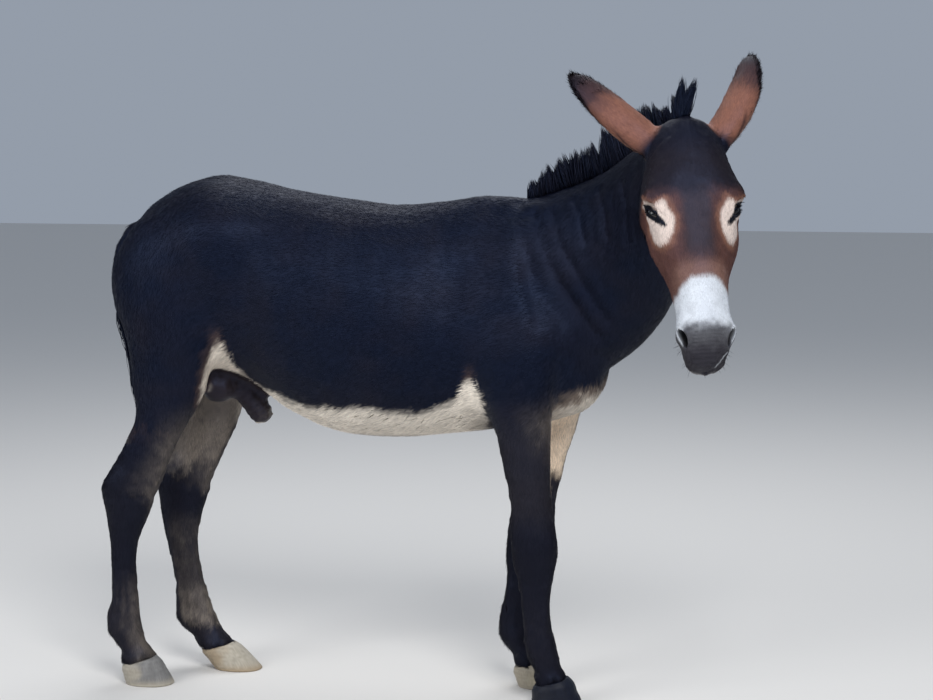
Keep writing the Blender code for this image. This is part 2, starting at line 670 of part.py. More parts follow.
# Parting ------------------------------------------------------------------------------------------------
def copy_of(obj, name):
    """The object again, with a mesh of its own."""
    made = bpy.data.objects.new(name, obj.data.copy())
    bpy.context.scene.collection.objects.link(made)
    return made


def cut(obj, cutter, operation):
    """The object after a Boolean with the cutter."""
    boolean = obj.modifiers.new("cut", "BOOLEAN")
    boolean.operation = operation
    boolean.object = cutter
    boolean.solver = "EXACT"
    return applied(obj)


def grown(obj, name):
    """A copy of the object, out by the gap all round, for cutting its neighbours."""
    made = copy_of(obj, name)
    points, normals = coordinates(made)
    set_coordinates(made, points + normals * GAP)
    return made


def block_before(name, plane, back):
    """A big block on the far side of a plane, started this far behind it."""
    point, facing = Vector(plane[0]), Vector(plane[1]).normalized()
    mesh = bmesh.new()
    bmesh.ops.create_cube(mesh, size=FAR)
    bmesh.ops.translate(mesh, verts=mesh.verts, vec=(0, 0, FAR / 2 - back))
    turn = facing.to_track_quat("Z", "Y").to_matrix().to_4x4()
    bmesh.ops.transform(mesh, matrix=turn, verts=mesh.verts)
    bmesh.ops.translate(mesh, verts=mesh.verts, vec=point)
    return object_from(name, mesh)


def leg_block(kind, side, raised):
    """A block round one leg, whose top slants up from between the legs to the body's side."""
    back, front, inner_top, outer_top = LEG_CUTS[kind]
    mesh = bmesh.new()
    bmesh.ops.create_cube(mesh, size=1.0)
    for vert in mesh.verts:
        x = front if vert.co.x > 0 else back
        outer = vert.co.y > 0
        top = (outer_top if outer else inner_top) + raised
        y = SIDE if outer else BETWEEN if vert.co.z > 0 else BETWEEN / 8
        vert.co = Vector((x, side * y, top if vert.co.z > 0 else -0.1))
    if side < 0:
        bmesh.ops.reverse_faces(mesh, faces=mesh.faces)
    return mesh


def coronet_block(name, middle, y):
    """A block under the slanted plane where a hoof meets its leg."""
    mesh = bmesh.new()
    bmesh.ops.create_cube(mesh, size=0.3)
    for vert in mesh.verts:
        vert.co.x += middle
        vert.co.y += y
        vert.co.z = coronet_height(vert.co.x, middle) if vert.co.z > 0 else -0.1
    return object_from(name, mesh)


def parted(body):
    """The body as its named pieces, each a gap away from the next."""
    pieces = {}
    head_block = block_before("head block", HEAD_PLANE, 0.0)
    pieces["head"] = cut(copy_of(body, "head"), head_block, "INTERSECT")
    rest = cut(body, block_before("head gap", HEAD_PLANE, GAP), "DIFFERENCE")
    neck_block = block_before("neck block", NECK_PLANE, 0.0)
    pieces["neck"] = cut(copy_of(rest, "neck"), neck_block, "INTERSECT")
    rest = cut(rest, block_before("neck gap", NECK_PLANE, GAP), "DIFFERENCE")
    gaps = []
    for kind in LEG_CUTS:
        for side_name, side in SIDES.items():
            name = f"{kind}_{side_name}"
            block = object_from(name + " block", leg_block(kind, side, 0.0))
            leg = cut(copy_of(rest, name), block, "INTERSECT")
            pieces[name] = cut(leg, coronet_block(name + " end", *LEG_ENDS[name]), "DIFFERENCE")
            gaps.append(leg_block(kind, side, 2 * GAP))
    pieces["trunk"] = cut(rest, object_from("leg gaps", together(gaps)), "DIFFERENCE")
    return pieces


def middle_of_box(pieces):
    """The middle of the box round all pieces, at the level of the floor."""
    points = np.concatenate([coordinates(piece)[0] for piece in pieces.values()])
    low, high = points.min(axis=0), points.max(axis=0)
    return Vector(((low[0] + high[0]) / 2, (low[1] + high[1]) / 2, 0.0))


def main():
    for old in list(bpy.data.objects):
        bpy.data.objects.remove(old)
    body = joined_body()
    smoothed(body, SMOOTHING_ROUNDS)
    modelled(body)
    thinned(body, BODY_TRIANGLES)
    round_body = grown(body, "body gap")
    pieces = parted(body)
    for side_name, side in SIDES.items():
        eye = object_from("eye_" + side_name, eye_form(side))
        pieces["head"] = cut(pieces["head"], grown(eye, eye.name + " gap"), "DIFFERENCE")
        pieces[eye.name] = eye
        ear = object_from("ear_" + side_name, ear_form(side_name))
        pieces[ear.name] = cut(ear, round_body, "DIFFERENCE")
        for kind in ("fore", "hind"):
            hoof = f"hoof_{kind}_{side_name}"
            leg_end = LEG_ENDS[f"{kind}leg_{side_name}"]
            pieces[hoof] = object_from(hoof, hoof_form(SOLES[hoof], leg_end))
    pieces["mane"] = cut(object_from("mane", mane_form()), round_body, "DIFFERENCE")
    pieces["forelock"] = cut(object_from("forelock", forelock_form()), round_body, "DIFFERENCE")
    tail = object_from("tail", loft(along_path(TAIL, 1, Vector((-1, 0, 0)), 12)))
    pieces["tail"] = cut(tail, round_body, "DIFFERENCE")
    sheath = object_from("sheath", loft(along_path(SHEATH, 1, Vector((0, 0, 1)), 14)))
    pieces["sheath"] = cut(sheath, round_body, "DIFFERENCE")
    scrotum = cut(scrotum_object(), round_body, "DIFFERENCE")
    pieces["scrotum"] = cut(scrotum, grown(pieces["sheath"], "sheath gap"), "DIFFERENCE")
    collection = bpy.data.collections.new("donkey")
    bpy.context.scene.collection.children.link(collection)
    to_origin = Matrix.Translation(-middle_of_box(pieces))
    for name, piece in pieces.items():
        piece.name = name
        piece.data.transform(to_origin)
        piece.data.materials.clear()
        piece.data.materials.append(finish(name))
        piece.data.shade_smooth()
        piece.data.set_sharp_from_angle(angle=math.radians(50))
        bpy.context.scene.collection.objects.unlink(piece)
        collection.objects.link(piece)
    for left_over in list(bpy.context.scene.collection.objects):
        bpy.data.objects.remove(left_over)


main()
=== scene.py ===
"""The looks of a life-size still model of a standing black donkey, a jack, its head turned to its right.

One skin is grown from the frame's flesh and carries the folds, lids, nostrils and lips. Over it lies the
coat: short tufts everywhere, and locks for the mane, the forelock and the tail. Skin and coat take their
colours from the same markings, which are worked out from the place on the body. Lengths are in metres, and
colours are linear.
"""

import itertools
import logging
import math
from collections.abc import Callable
from dataclasses import dataclass, field
from enum import Enum

import bmesh
import bpy
import numpy as np
from bpy.types import ID, Material, Mesh, Node, NodeSocket, NodeTree, Object
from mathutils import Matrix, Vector
from mathutils.bvhtree import BVHTree
from numpy.random import Generator


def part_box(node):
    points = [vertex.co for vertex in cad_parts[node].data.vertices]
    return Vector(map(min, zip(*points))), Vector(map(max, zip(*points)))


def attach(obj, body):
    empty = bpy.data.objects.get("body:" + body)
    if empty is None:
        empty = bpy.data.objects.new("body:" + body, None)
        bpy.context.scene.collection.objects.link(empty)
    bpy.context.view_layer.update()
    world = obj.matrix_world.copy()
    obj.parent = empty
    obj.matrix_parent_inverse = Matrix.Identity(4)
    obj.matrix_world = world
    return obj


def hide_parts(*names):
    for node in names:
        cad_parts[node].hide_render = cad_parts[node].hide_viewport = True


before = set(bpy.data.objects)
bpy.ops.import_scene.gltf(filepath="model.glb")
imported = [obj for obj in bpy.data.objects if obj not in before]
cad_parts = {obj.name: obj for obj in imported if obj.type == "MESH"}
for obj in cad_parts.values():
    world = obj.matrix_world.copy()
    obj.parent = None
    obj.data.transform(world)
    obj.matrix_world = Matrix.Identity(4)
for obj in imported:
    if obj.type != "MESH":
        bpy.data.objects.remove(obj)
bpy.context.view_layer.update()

logging.basicConfig(level=logging.INFO, format="%(message)s")
LOG = logging.getLogger("donkey")

Array = np.ndarray
Triple = tuple[float, float, float]
Colour = Triple
SIDES = {"left": 1, "right": -1}
WORLD_UP = np.array([0.0, 0.0, 1.0])
LEVEL = np.array([1.0, 1.0, 0.0])
EVENING, SWELLING = 0.62, -0.64  # the steps towards the neighbours' mean and back that even a surface
LEGS = ("foreleg_left", "foreleg_right", "hindleg_left", "hindleg_right")


# ---- Numbers
def ramp(low: float, high: float, value: Array) -> Array:
    """A smooth rise from 0 to 1.

    Args:
        low: The value where it is 0.
        high: The value where it is 1.
        value: The values to read it at.

    Returns:
        The rise at each value.
    """
    share = np.clip((value - low) / (high - low), 0.0, 1.0)
    return share * share * (3.0 - 2.0 * share)


def bell(distance: Array, width: float) -> Array:
    """A bell curve of 1 at no distance, which falls off over the width."""
    return np.exp(-((distance / width) ** 2))


def unit(vectors: Array) -> Array:
    """The vectors at length 1."""
    return vectors / np.maximum(np.linalg.norm(vectors, axis=-1, keepdims=True), 1e-9)


def mixed(first: Array, second: Array | Colour, share: Array) -> Array:
    """Rows of the first turned into the second, one row for all or a row for each, by each row's share."""
    return first + (second - first) * np.asarray(share)[:, None]


def layered(ground: Array, *layers: tuple[Colour | Array, Array]) -> Array:
    """Lays colours over a ground, one after the other.

    Args:
        ground: The colour of each point below them.
        layers: Each one's colour and its share of each point.

    Returns:
        The colour of each point.
    """
    for colour, share in layers:
        ground = mixed(ground, colour, share)
    return ground


def lumps(points: Array, size: float, seed: int) -> Array:
    """Smooth noise whose lumps are about one size across.

    Args:
        points: Where to read it.
        size: How far apart its lattice points are, in metres, or one value for each axis.
        seed: Which noise it is.

    Returns:
        A value from -1 to 1 for each point.
    """
    grid = points / size + 31.7 * seed
    cell = np.floor(grid).astype(np.int64)
    share = grid - cell
    share = share * share * (3.0 - 2.0 * share)
    total = np.zeros(len(points))
    for corner in itertools.product((0, 1), repeat=3):
        place = cell + corner
        mixed_bits = place[:, 0] * 73856093 ^ place[:, 1] * 19349663 ^ place[:, 2] * 83492791
        mixed_bits = (mixed_bits ^ (mixed_bits >> 13)) * 1274126177 & 0xFFFFFF
        value = ((mixed_bits ^ (mixed_bits >> 11)) & 0xFFFF) / 0x7FFF - 1.0
        total += value * np.prod(np.where(corner, share, 1.0 - share), axis=1)
    return total


def off_place(points: Array, place: Array) -> Array:
    """How far each point lies from a place."""
    return np.linalg.norm(points - place, axis=1)


def off_line(points: Array, line: Array) -> Array:
    """How far each point lies from a line of straight runs.

    Args:
        points: The points.
        line: The line's corners in order.

    Returns:
        Each point's distance.
    """
    nearest = np.full(len(points), np.inf)
    for start, end in zip(line[:-1], line[1:]):
        run = end - start
        share = np.clip((points - start) @ run / (run @ run), 0.0, 1.0)
        nearest = np.minimum(nearest, np.linalg.norm(points - start - share[:, None] * run, axis=1))
    return nearest


# ---- Meshes
def deselect() -> None:
    """Leaves nothing selected."""
    bpy.ops.object.select_all(action="DESELECT")


def make_active(piece: Object) -> None:
    """Selects one object alone and makes it the active one."""
    deselect()
    piece.select_set(True)
    bpy.context.view_layer.objects.active = piece


def new_object(name: str, data: ID) -> Object:
    """A new object of the data, in the scene."""
    made = bpy.data.objects.new(name, data)
    bpy.context.scene.collection.objects.link(made)
    return made


def read_all(rows: object, key: str, width: int, kind: type = np.int32) -> Array:
    """Reads one property of all of a mesh's parts.

    Args:
        rows: The collection, such as its vertices.
        key: The property.
        width: How many numbers it has.
        kind: The numbers' type.

    Returns:
        A row for each part.
    """
    flat = np.empty(len(rows) * width, dtype=kind)
    rows.foreach_get(key, flat)
    return flat.reshape(-1, width)


def places(mesh: Mesh) -> Array:
    """The places of a mesh's vertices."""
    return read_all(mesh.vertices, "co", 3, float)


def set_places(mesh: Mesh, points: Array) -> None:
    """Puts a mesh's vertices at the points."""
    mesh.vertices.foreach_set("co", points.astype(np.float32).ravel())
    mesh.update()


def normals(mesh: Mesh) -> Array:
    """The normals of a mesh's vertices."""
    return read_all(mesh.vertex_normals, "vector", 3, np.float32).astype(float)


def edge_ends(mesh: Mesh) -> Array:
    """The two vertices of each edge."""
    return read_all(mesh.edges, "vertices", 2)


def triangles(mesh: Mesh) -> Array:
    """The corners of a mesh's triangles."""
    mesh.calc_loop_triangles()
    return read_all(mesh.loop_triangles, "vertices", 3)


def tree_of(mesh: Mesh) -> BVHTree:
    """A tree that finds the nearest place on a mesh."""
    return BVHTree.FromPolygons(places(mesh).tolist(), [tuple(f.vertices) for f in mesh.polygons])


def mesh_object(name: str, points: Array, corners: Array) -> Object:
    """An object made of triangles.

    Args:
        name: Its name.
        points: The places of its vertices.
        corners: The three vertices of each triangle.

    Returns:
        The new object, in the scene.
    """
    mesh = bpy.data.meshes.new(name)
    mesh.vertices.add(len(points))
    mesh.vertices.foreach_set("co", points.astype(np.float32).ravel())
    mesh.loops.add(len(corners) * 3)
    mesh.loops.foreach_set("vertex_index", corners.astype(np.int32).ravel())
    mesh.polygons.add(len(corners))
    mesh.polygons.foreach_set("loop_start", np.arange(0, len(corners) * 3, 3, dtype=np.int32))
    mesh.update(calc_edges=True)
    return new_object(name, mesh)


def node_copy(name: str, *nodes: str) -> Object:
    """A merged copy of the frame's nodes as one object.

    Args:
        name: The copy's name.
        nodes: The nodes to copy.

    Returns:
        The copy.
    """
    whole = bmesh.new()
    for node in nodes:
        whole.from_mesh(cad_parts[node].data)
    bmesh.ops.remove_doubles(whole, verts=whole.verts, dist=1e-5)
    mesh = bpy.data.meshes.new(name)
    whole.to_mesh(mesh)
    whole.free()
    return new_object(name, mesh)


def apply(piece: Object, kind: str, **settings: object) -> None:
    """Gives an object a modifier and applies it.

    Args:
        piece: The object.
        kind: The modifier's type.
        settings: Its settings by name.
    """
    make_active(piece)
    modifier = piece.modifiers.new(kind.lower(), kind)
    for key, value in settings.items():
        setattr(modifier, key, value)
    bpy.ops.object.modifier_apply(modifier=modifier.name)


def neighbour_mean(points: Array, ends: Array) -> Array:
    """The mean place of each vertex's neighbours.

    Args:
        points: The vertices' places.
        ends: The ends of the edges.

    Returns:
        A place for each vertex.
    """
    count = len(points)
    both = np.concatenate([ends, ends[:, ::-1]])
    degree = np.maximum(np.bincount(both[:, 0], minlength=count), 1)
    sums = [np.bincount(both[:, 0], weights=points[both[:, 1], axis], minlength=count) for axis in range(3)]
    return np.stack(sums, axis=1) / degree[:, None]


def smoothed(points: Array, ends: Array, rounds: int, share: Array | float = 1.0) -> Array:
    """Evens a surface without shrinking it.

    Args:
        points: The vertices' places.
        ends: The ends of the edges.
        rounds: How many times it is evened and swelled back.
        share: How much of it each vertex takes.

    Returns:
        The new places.
    """
    weight = np.broadcast_to(share, len(points))[:, None]
    for _ in range(rounds):
        for step in (EVENING, SWELLING):
            points = points + (neighbour_mean(points, ends) - points) * step * weight
    return points


def colour_attribute(mesh: Mesh, name: str, colours: Array) -> None:
    """Stores a colour for each vertex of a mesh."""
    layer = mesh.attributes.new(name, "FLOAT_COLOR", "POINT")
    layer.data.foreach_set("color", np.c_[colours, np.ones(len(colours))].astype(np.float32).ravel())


# ---- Places on the body
def box_corners(node: str) -> tuple[Array, Array]:
    """The low and the high corner of a node's box."""
    low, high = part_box(node)
    return np.array(low), np.array(high)


def box_middle(node: str) -> Array:
    """The middle of a node's box."""
    return sum(box_corners(node)) / 2


@dataclass(frozen=True)
class HeadFrame:
    """The head's own axes: down the face from the poll, to the donkey's left, and out of the face."""

    poll: Array
    down: Array
    left: Array
    out: Array

    def at(self, down: float, left: float, out: float) -> Array:
        """A place given in the head's axes, as a place in the model."""
        return self.poll + self.down * down + self.left * left + self.out * out

    def way(self, down: float, left: float, out: float) -> Array:
        """A direction given in the head's axes, as one in the model."""
        return self.down * down + self.left * left + self.out * out

    def read(self, points: Array) -> tuple[Array, Array, Array]:
        """The points' places down the face, to its left and out of it."""
        moved = points - self.poll
        return moved @ self.down, moved @ self.left, moved @ self.out


@dataclass(frozen=True)
class HeadStance:
    """How the head is carried, in degrees, and where the eyes sit in it, in metres."""

    turn: float = 13.3
    slope: float = 29.0
    roll: float = -1.8
    eyes_down: float = 0.2
    eyes_out: float = -0.05

    def frame(self) -> HeadFrame:
        """The head's axes, hung on the middle between the frame's eyes.

        Returns:
            The axes.
        """
        turn, slope, roll = (math.radians(angle) for angle in (self.turn, self.slope, self.roll))
        heading = np.array([math.sin(turn), -math.cos(turn), 0.0])
        level = np.cross(WORLD_UP, heading)
        down = heading * math.sin(slope) - WORLD_UP * math.cos(slope)
        out = heading * math.cos(slope) + WORLD_UP * math.sin(slope)
        left = level * math.cos(roll) + down * math.sin(roll)
        down = down * math.cos(roll) - level * math.sin(roll)
        eyes = (box_middle("eye_left") + box_middle("eye_right")) / 2
        return HeadFrame(eyes - down * self.eyes_down - out * self.eyes_out, down, left, out)


HEAD = HeadStance().frame()
MIDDLE_Y = float(box_middle("trunk")[1])


@dataclass(frozen=True)
class EarPlace:
    """Where one ear stands: its foot, tip and the way its hollow faces."""

    foot: Array
    tip: Array
    opening: Array
    wrap: tuple[tuple[float, float], ...] = (
        (0.0, 165), (0.12, 158), (0.25, 138), (0.4, 116), (0.7, 88), (1.0, 60),
    )  # how far round the ear its edge lies at each share of its length, in degrees

    @property
    def length(self) -> float:
        """From the foot to the tip."""
        return float(np.linalg.norm(self.tip - self.foot))

    @property
    def axis(self) -> Array:
        """The way from the foot to the tip."""
        return (self.tip - self.foot) / self.length

    @property
    def across(self) -> Array:
        """The way across the hollow."""
        return np.cross(self.axis, self.opening)

    def read(self, points: Array) -> tuple[Array, Array]:
        """How far along the ear each point lies, and how near to its edge, both from 0 to 1.

        Args:
            points: The points.

        Returns:
            The two shares of each point.
        """
        moved = points - self.foot
        share = moved @ self.axis / self.length
        angle = np.abs(np.arctan2(moved @ self.across, -(moved @ self.opening)))
        half = np.radians(np.interp(share, *np.array(self.wrap).T))
        return share, np.clip(angle / half, 0.0, 1.0)


EAR_FOOT = (0.024, 0.068, -0.074)  # in the head's axes, on the left
EAR_OPENINGS = {"left": (0.3, 0.95, -0.3), "right": (-0.35, 0.9, -0.35)}


def ear_place(side: str) -> EarPlace:
    """Finds an ear in the frame.

    Args:
        side: left or right.

    Returns:
        Its place.
    """
    down, left, out = EAR_FOOT
    foot = HEAD.at(down, SIDES[side] * left, out)
    points = places(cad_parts[f"ear_{side}"].data)
    tip = points[np.argmax(off_place(points, foot))]
    axis = (tip - foot) / np.linalg.norm(tip - foot)
    opening = np.array(EAR_OPENINGS[side])
    opening = opening - axis * (opening @ axis)
    return EarPlace(foot, tip, opening / np.linalg.norm(opening))


EARS = {side: ear_place(side) for side in SIDES}


@dataclass(frozen=True)
class Region:
    """A half space whose edge is soft, such as all that lies beyond the throat."""

    point: Triple
    way: Triple
    softness: float = 0.03

    def share(self, points: Array) -> Array:
        """From 0 on this side to 1 beyond."""
        way = np.array(self.way) / np.linalg.norm(self.way)
        return ramp(-self.softness, self.softness, (points - np.array(self.point)) @ way)


LEVEL_ENOUGH = 0.8  # the least upward part of the normal on a hoof's top
BEYOND_THROAT = Region((0.631, -0.074, 1.3), (0.16, -0.86, 0.18))
BEYOND_SHOULDER = Region((0.226, 0.171, 1.22), (0.895, 0.0, 0.445), 0.08)


def hoof_top(node: str) -> Array:
    """The plane of a hoof's top.

    Args:
        node: The hoof's node.

    Returns:
        What x, y and 1 are multiplied by for the plane's height.
    """
    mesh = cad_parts[node].data
    tops = [face for face in mesh.polygons if face.normal.z > LEVEL_ENOUGH]
    points = np.array([tuple(mesh.vertices[index].co) for face in tops for index in face.vertices])
    flat = np.column_stack([points[:, :2], np.ones(len(points))])
    return np.linalg.lstsq(flat, points[:, 2], rcond=None)[0]


def height_over(points: Array, plane: Array) -> Array:
    """How far each point lies above a plane."""
    return points[:, 2] - points[:, :2] @ plane[:2] - plane[2]


def legs_share(points: Array) -> Array:
    """How much of each point is leg: 0 on the trunk and 1 below the elbow and the stifle.

    Args:
        points: The points.

    Returns:
        The share of each point.
    """
    x, _, z = points.T
    fore = ramp(0.7, 0.6, z) * ramp(0.02, 0.12, x)
    hind = ramp(0.86, 0.66, z) * ramp(-0.38, -0.46, x)
    low = ramp(0.62, 0.56, z)
    return np.clip(np.maximum(np.maximum(fore, hind), low), 0.0, 1.0)


def ear_shares(points: Array) -> dict[str, Array]:
    """How much of each point belongs to each ear.

    Args:
        points: The points.

    Returns:
        Each ear's share of each point.
    """
    shares = {}
    for side, ear in EARS.items():
        along = (points - ear.foot) @ ear.axis
        off = np.linalg.norm(points - ear.foot - along[:, None] * ear.axis, axis=1)
        reach = np.interp(along, (0.0, 0.03, 0.07), (0.046, 0.06, 0.085))
        shares[side] = ramp(-0.004, 0.022, along) * ramp(0.0, -0.014, off - reach)
    return shares


def lie(points: Array, facing: Array) -> Array:
    """The way the hair lies at each point, flat along the surface.

    Args:
        points: The points.
        facing: The surface's normals there.

    Returns:
        A direction for each point.
    """
    x, y, z = points.T
    side = np.sign(y - MIDDLE_Y)
    rump = ramp(-0.45, -0.66, x)
    low = ramp(1.05, 0.75, z)
    way = np.stack([-1.0 + 0.85 * rump, 0.15 * side * low, -0.15 - 0.45 * low - 1.2 * rump], axis=1)
    breast = ramp(0.3, 0.42, x) * ramp(1.05, 0.9, z)
    way = mixed(way, (-0.1, 0.0, -1.0), breast)
    way = mixed(way, (-0.45, 0.25, -0.8), BEYOND_SHOULDER.share(points))  # the neck
    way = mixed(way, (-0.05, 0.0, -1.0), legs_share(points))
    down, left, out = HEAD.read(points)
    cheek = ramp(-0.06, -0.14, out)
    face = HEAD.down[None, :] - HEAD.out[None, :] * (0.7 * cheek)[:, None]
    face = face + HEAD.left[None, :] * (np.sign(left) * 0.5 * ramp(0.16, 0.06, down))[:, None]
    way = mixed(way, face, BEYOND_THROAT.share(points))
    for name, share in ear_shares(points).items():
        way = mixed(way, EARS[name].axis, share)
    swirl = np.stack([lumps(points, 0.11, seed) for seed in (3, 4, 5)], axis=1)
    way = unit(way) + 0.22 * swirl
    way = way - facing * np.sum(way * facing, axis=1)[:, None]
    return unit(way)


# ---- Markings
@dataclass(frozen=True)
class Markings:
    """The colours of skin and coat, worked out from the place on the body."""

    # black hair; its blue tone is painted sky sheen
    black: Colour = (0.0024, 0.0036, 0.0105)
    brown_black: Colour = (0.012, 0.0085, 0.01)
    face_brown: Colour = (0.098, 0.044, 0.033)
    nose_stripe: Colour = (0.027, 0.019, 0.018)
    ring: Colour = (0.7, 0.585, 0.52)
    brow: Colour = (0.21, 0.1, 0.064)
    muzzle: Colour = (0.62, 0.65, 0.69)
    nose: Colour = (0.04, 0.036, 0.037)
    nose_low: Colour = (0.033, 0.029, 0.031)
    # dark bare skin, also used as painted shade round the eye slits and in the nostril hollows
    dark_skin_and_shade: Colour = (0.006, 0.005, 0.005)
    chin: Colour = (0.3, 0.285, 0.275)
    cheek_pale: Colour = (0.215, 0.118, 0.088)
    cream: Colour = (0.9, 0.81, 0.69)
    breast_brown: Colour = (0.23, 0.175, 0.13)
    leg_grey: Colour = (0.165, 0.138, 0.112)
    leg_brown: Colour = (0.024, 0.02, 0.021)
    leg_dark: Colour = (0.0062, 0.005, 0.0068)
    ear_brown: Colour = (0.225, 0.098, 0.064)
    ear_dark: Colour = (0.05, 0.026, 0.024)
    pale_hair: Colour = (0.62, 0.54, 0.45)
    genital: Colour = (0.02, 0.014, 0.014)
    groin_brown: Colour = (0.075, 0.047, 0.038)
    gold: Colour = (0.93, 0.74, 0.55)
    lip_line: tuple[Triple, ...] = (
        (0.524, 0.044, -0.06), (0.5327, 0.0353, -0.0594), (0.5398, 0.0289, -0.0636),
        (0.5454, 0.0232, -0.0716), (0.5489, 0.0177, -0.0792),
    )  # a pale line of hair on the left of the upper lip, in the head's axes
    belly_edge: tuple[tuple[float, float], ...] = (
        (-0.56, 0.6), (-0.535, 0.705), (-0.512, 0.785), (-0.49, 0.835), (-0.472, 0.85),
        (-0.463, 0.837), (-0.455, 0.808), (-0.444, 0.776), (-0.422, 0.759), (-0.393, 0.737),
        (-0.34, 0.72), (-0.29, 0.706), (-0.246, 0.696), (-0.13, 0.702), (-0.08, 0.704),
        (-0.036, 0.694), (0.011, 0.692), (0.047, 0.702), (0.088, 0.722), (0.104, 0.732),
        (0.117, 0.76), (0.13, 0.775), (0.145, 0.775), (0.158, 0.745),
    )  # the height that the pale hair reaches, along the belly from the groin to the elbow

    def at(self, points: Array, facing: Array) -> Array:
        """The colour at each point.

        Args:
            points: The points.
            facing: The surface's normals there.

        Returns:
            Linear red, green and blue for each point.
        """
        ragged = lumps(points, 0.018, 11) * 0.6 + lumps(points, 0.007, 12) * 0.4
        cloud = lumps(points, 0.09, 13)
        colour = np.tile(self.black, (len(points), 1))
        patch = 0.6 * cloud + 0.4 * lumps(points, 0.035, 14)
        colour = mixed(colour, self.brown_black, np.clip(0.16 + 0.42 * patch, 0.0, 1.0))
        colour = self.trunk(colour, points, ragged)
        colour = self.legs(colour, points, facing, ragged)
        colour = mixed(colour, self.face(points, ragged), BEYOND_THROAT.share(points))
        return self.ears(colour, points, facing, ragged)

    def trunk(self, colour: Array, points: Array, ragged: Array) -> Array:
        """Adds the cream belly, the pale groin and breast, and the dark sheath and scrotum.

        Args:
            colour: Each point's colour so far.
            points: The points.
            ragged: The unevenness of the edges at each point.

        Returns:
            Each point's new colour.
        """
        x, y, z = points.T
        aside = np.abs(y - MIDDLE_Y)
        edge = np.interp(x, *np.array(self.belly_edge).T)
        over = z - edge - 0.014 * ragged
        belly = ramp(0.012, -0.012, over)
        belly = belly * ramp(0.6, 0.64, z) * ramp(0.172, 0.155, x + 0.01 * ragged)
        groin = ramp(-0.36, -0.42, x)
        halo = ramp(0.055, 0.0, over - 0.02 * ragged) * ramp(-0.445, -0.475, x)
        halo = halo * ramp(0.6, 0.66, z)
        spike = bell(x - 0.136 - 0.01 * ragged, 0.009) * ramp(0.83, 0.77, z)
        spike = spike * ramp(0.73, 0.76, z)
        rise = z - 0.735 - 0.35 * (x - 0.36) + 0.02 * ragged  # over a line that slopes up the breast
        breast = ramp(0.205, 0.255, x) * ramp(0.025, -0.02, rise)
        breast = breast * ramp(0.15, 0.08, aside + 0.02 * ragged) * ramp(0.56, 0.62, z)
        pale = breast * ramp(-0.005, -0.03, rise) * ramp(0.11, 0.06, aside + 0.02 * ragged)
        genital = ramp(0.075, 0.06, aside) * ramp(0.795, 0.775, z) * ramp(0.64, 0.645, z)
        genital = genital * ramp(-0.58, -0.57, x) * ramp(-0.38, -0.395, x)
        return layered(
            colour,
            (self.groin_brown, np.maximum(0.75 * halo, spike)),
            (self.breast_brown, belly * groin),
            (self.cream, belly * (1.0 - 0.3 * groin * (1.0 - ragged))),
            (self.breast_brown, 0.9 * breast),
            (self.cream, 0.85 * pale),
            (self.genital, genital),
        )

    def legs(self, colour: Array, points: Array, facing: Array, ragged: Array) -> Array:
        """Adds the grey-brown gaskins and inner legs, the dark joints and the grizzled shins.

        Args:
            colour: Each point's colour so far.
            points: The points.
            facing: The surface's normals there.
            ragged: The unevenness of the edges at each point.

        Returns:
            Each point's new colour.
        """
        x, y, z = points.T
        turned = np.clip(facing[:, 0], -1.0, 1.0)
        inward = np.sign(MIDDLE_Y - y) * facing[:, 1]
        inner, ahead = ramp(0.1, 0.7, inward), ramp(-0.2, 0.7, turned)
        far = ramp(MIDDLE_Y - 0.02, MIDDLE_Y + 0.02, y)
        near = 1.0 - far
        hind, fore = ramp(-0.3, -0.38, x), ramp(0.1, 0.16, x)
        high, higher = z + 0.02 * ragged, z + 0.03 * ragged  # heights that make ragged edges
        gaskin = ramp(0.465, 0.53, z + 0.025 * ragged + 0.045 * turned)
        gaskin = gaskin * ramp(0.72, 0.6, higher)
        shin = ramp(0.3, 0.2, higher) * ramp(0.06, 0.12, z + 0.05 * hind)
        forearm = ramp(0.74, 0.62, higher) * ramp(0.4, 0.5, high)
        brown = np.maximum(hind * gaskin * ahead, fore * forearm * 0.6)
        brown = np.maximum(brown, shin * (0.45 + 0.4 * ragged) * (0.35 + 0.65 * hind))
        thigh = ramp(0.8, 0.72, higher) * ramp(0.49, 0.56, higher)
        patch = ramp(0.24, 0.185, higher) * ramp(0.104, 0.14, high)
        patch = patch * ramp(-0.55, 0.05, turned) * (0.8 + 0.5 * ragged)
        cannon = ramp(0.42, 0.34, z) * ramp(0.14, 0.2, z) * (0.22 + 0.2 * ragged)
        cannon = cannon * ramp(-0.7, 0.1, turned)
        elbow = bell(z - 0.675 + 0.02 * ragged, 0.04) * ahead
        greys = (
            hind * inner * np.maximum(gaskin * near, far * thigh) * (0.95 + 0.4 * ragged),
            hind * far * np.maximum(patch, cannon),
            (0.32 + 0.4 * ragged) * hind * gaskin * ahead,
            (0.4 + 0.4 * ragged) * hind * near * shin * ahead,
            fore * near * elbow * (0.3 + 0.3 * ragged),
        )
        pale = fore * ramp(-0.15, 0.45, inward) * ramp(0.5, 0.55, high)
        return layered(
            colour,
            (self.leg_dark, ramp(0.6, 0.52, z)),
            (self.leg_brown, np.clip(brown, 0.0, 1.0)),
            (self.leg_grey, np.clip(np.maximum.reduce(greys), 0.0, 1.0)),
            (self.gold, 0.9 * pale * ramp(0.76, 0.7, z)),
        )

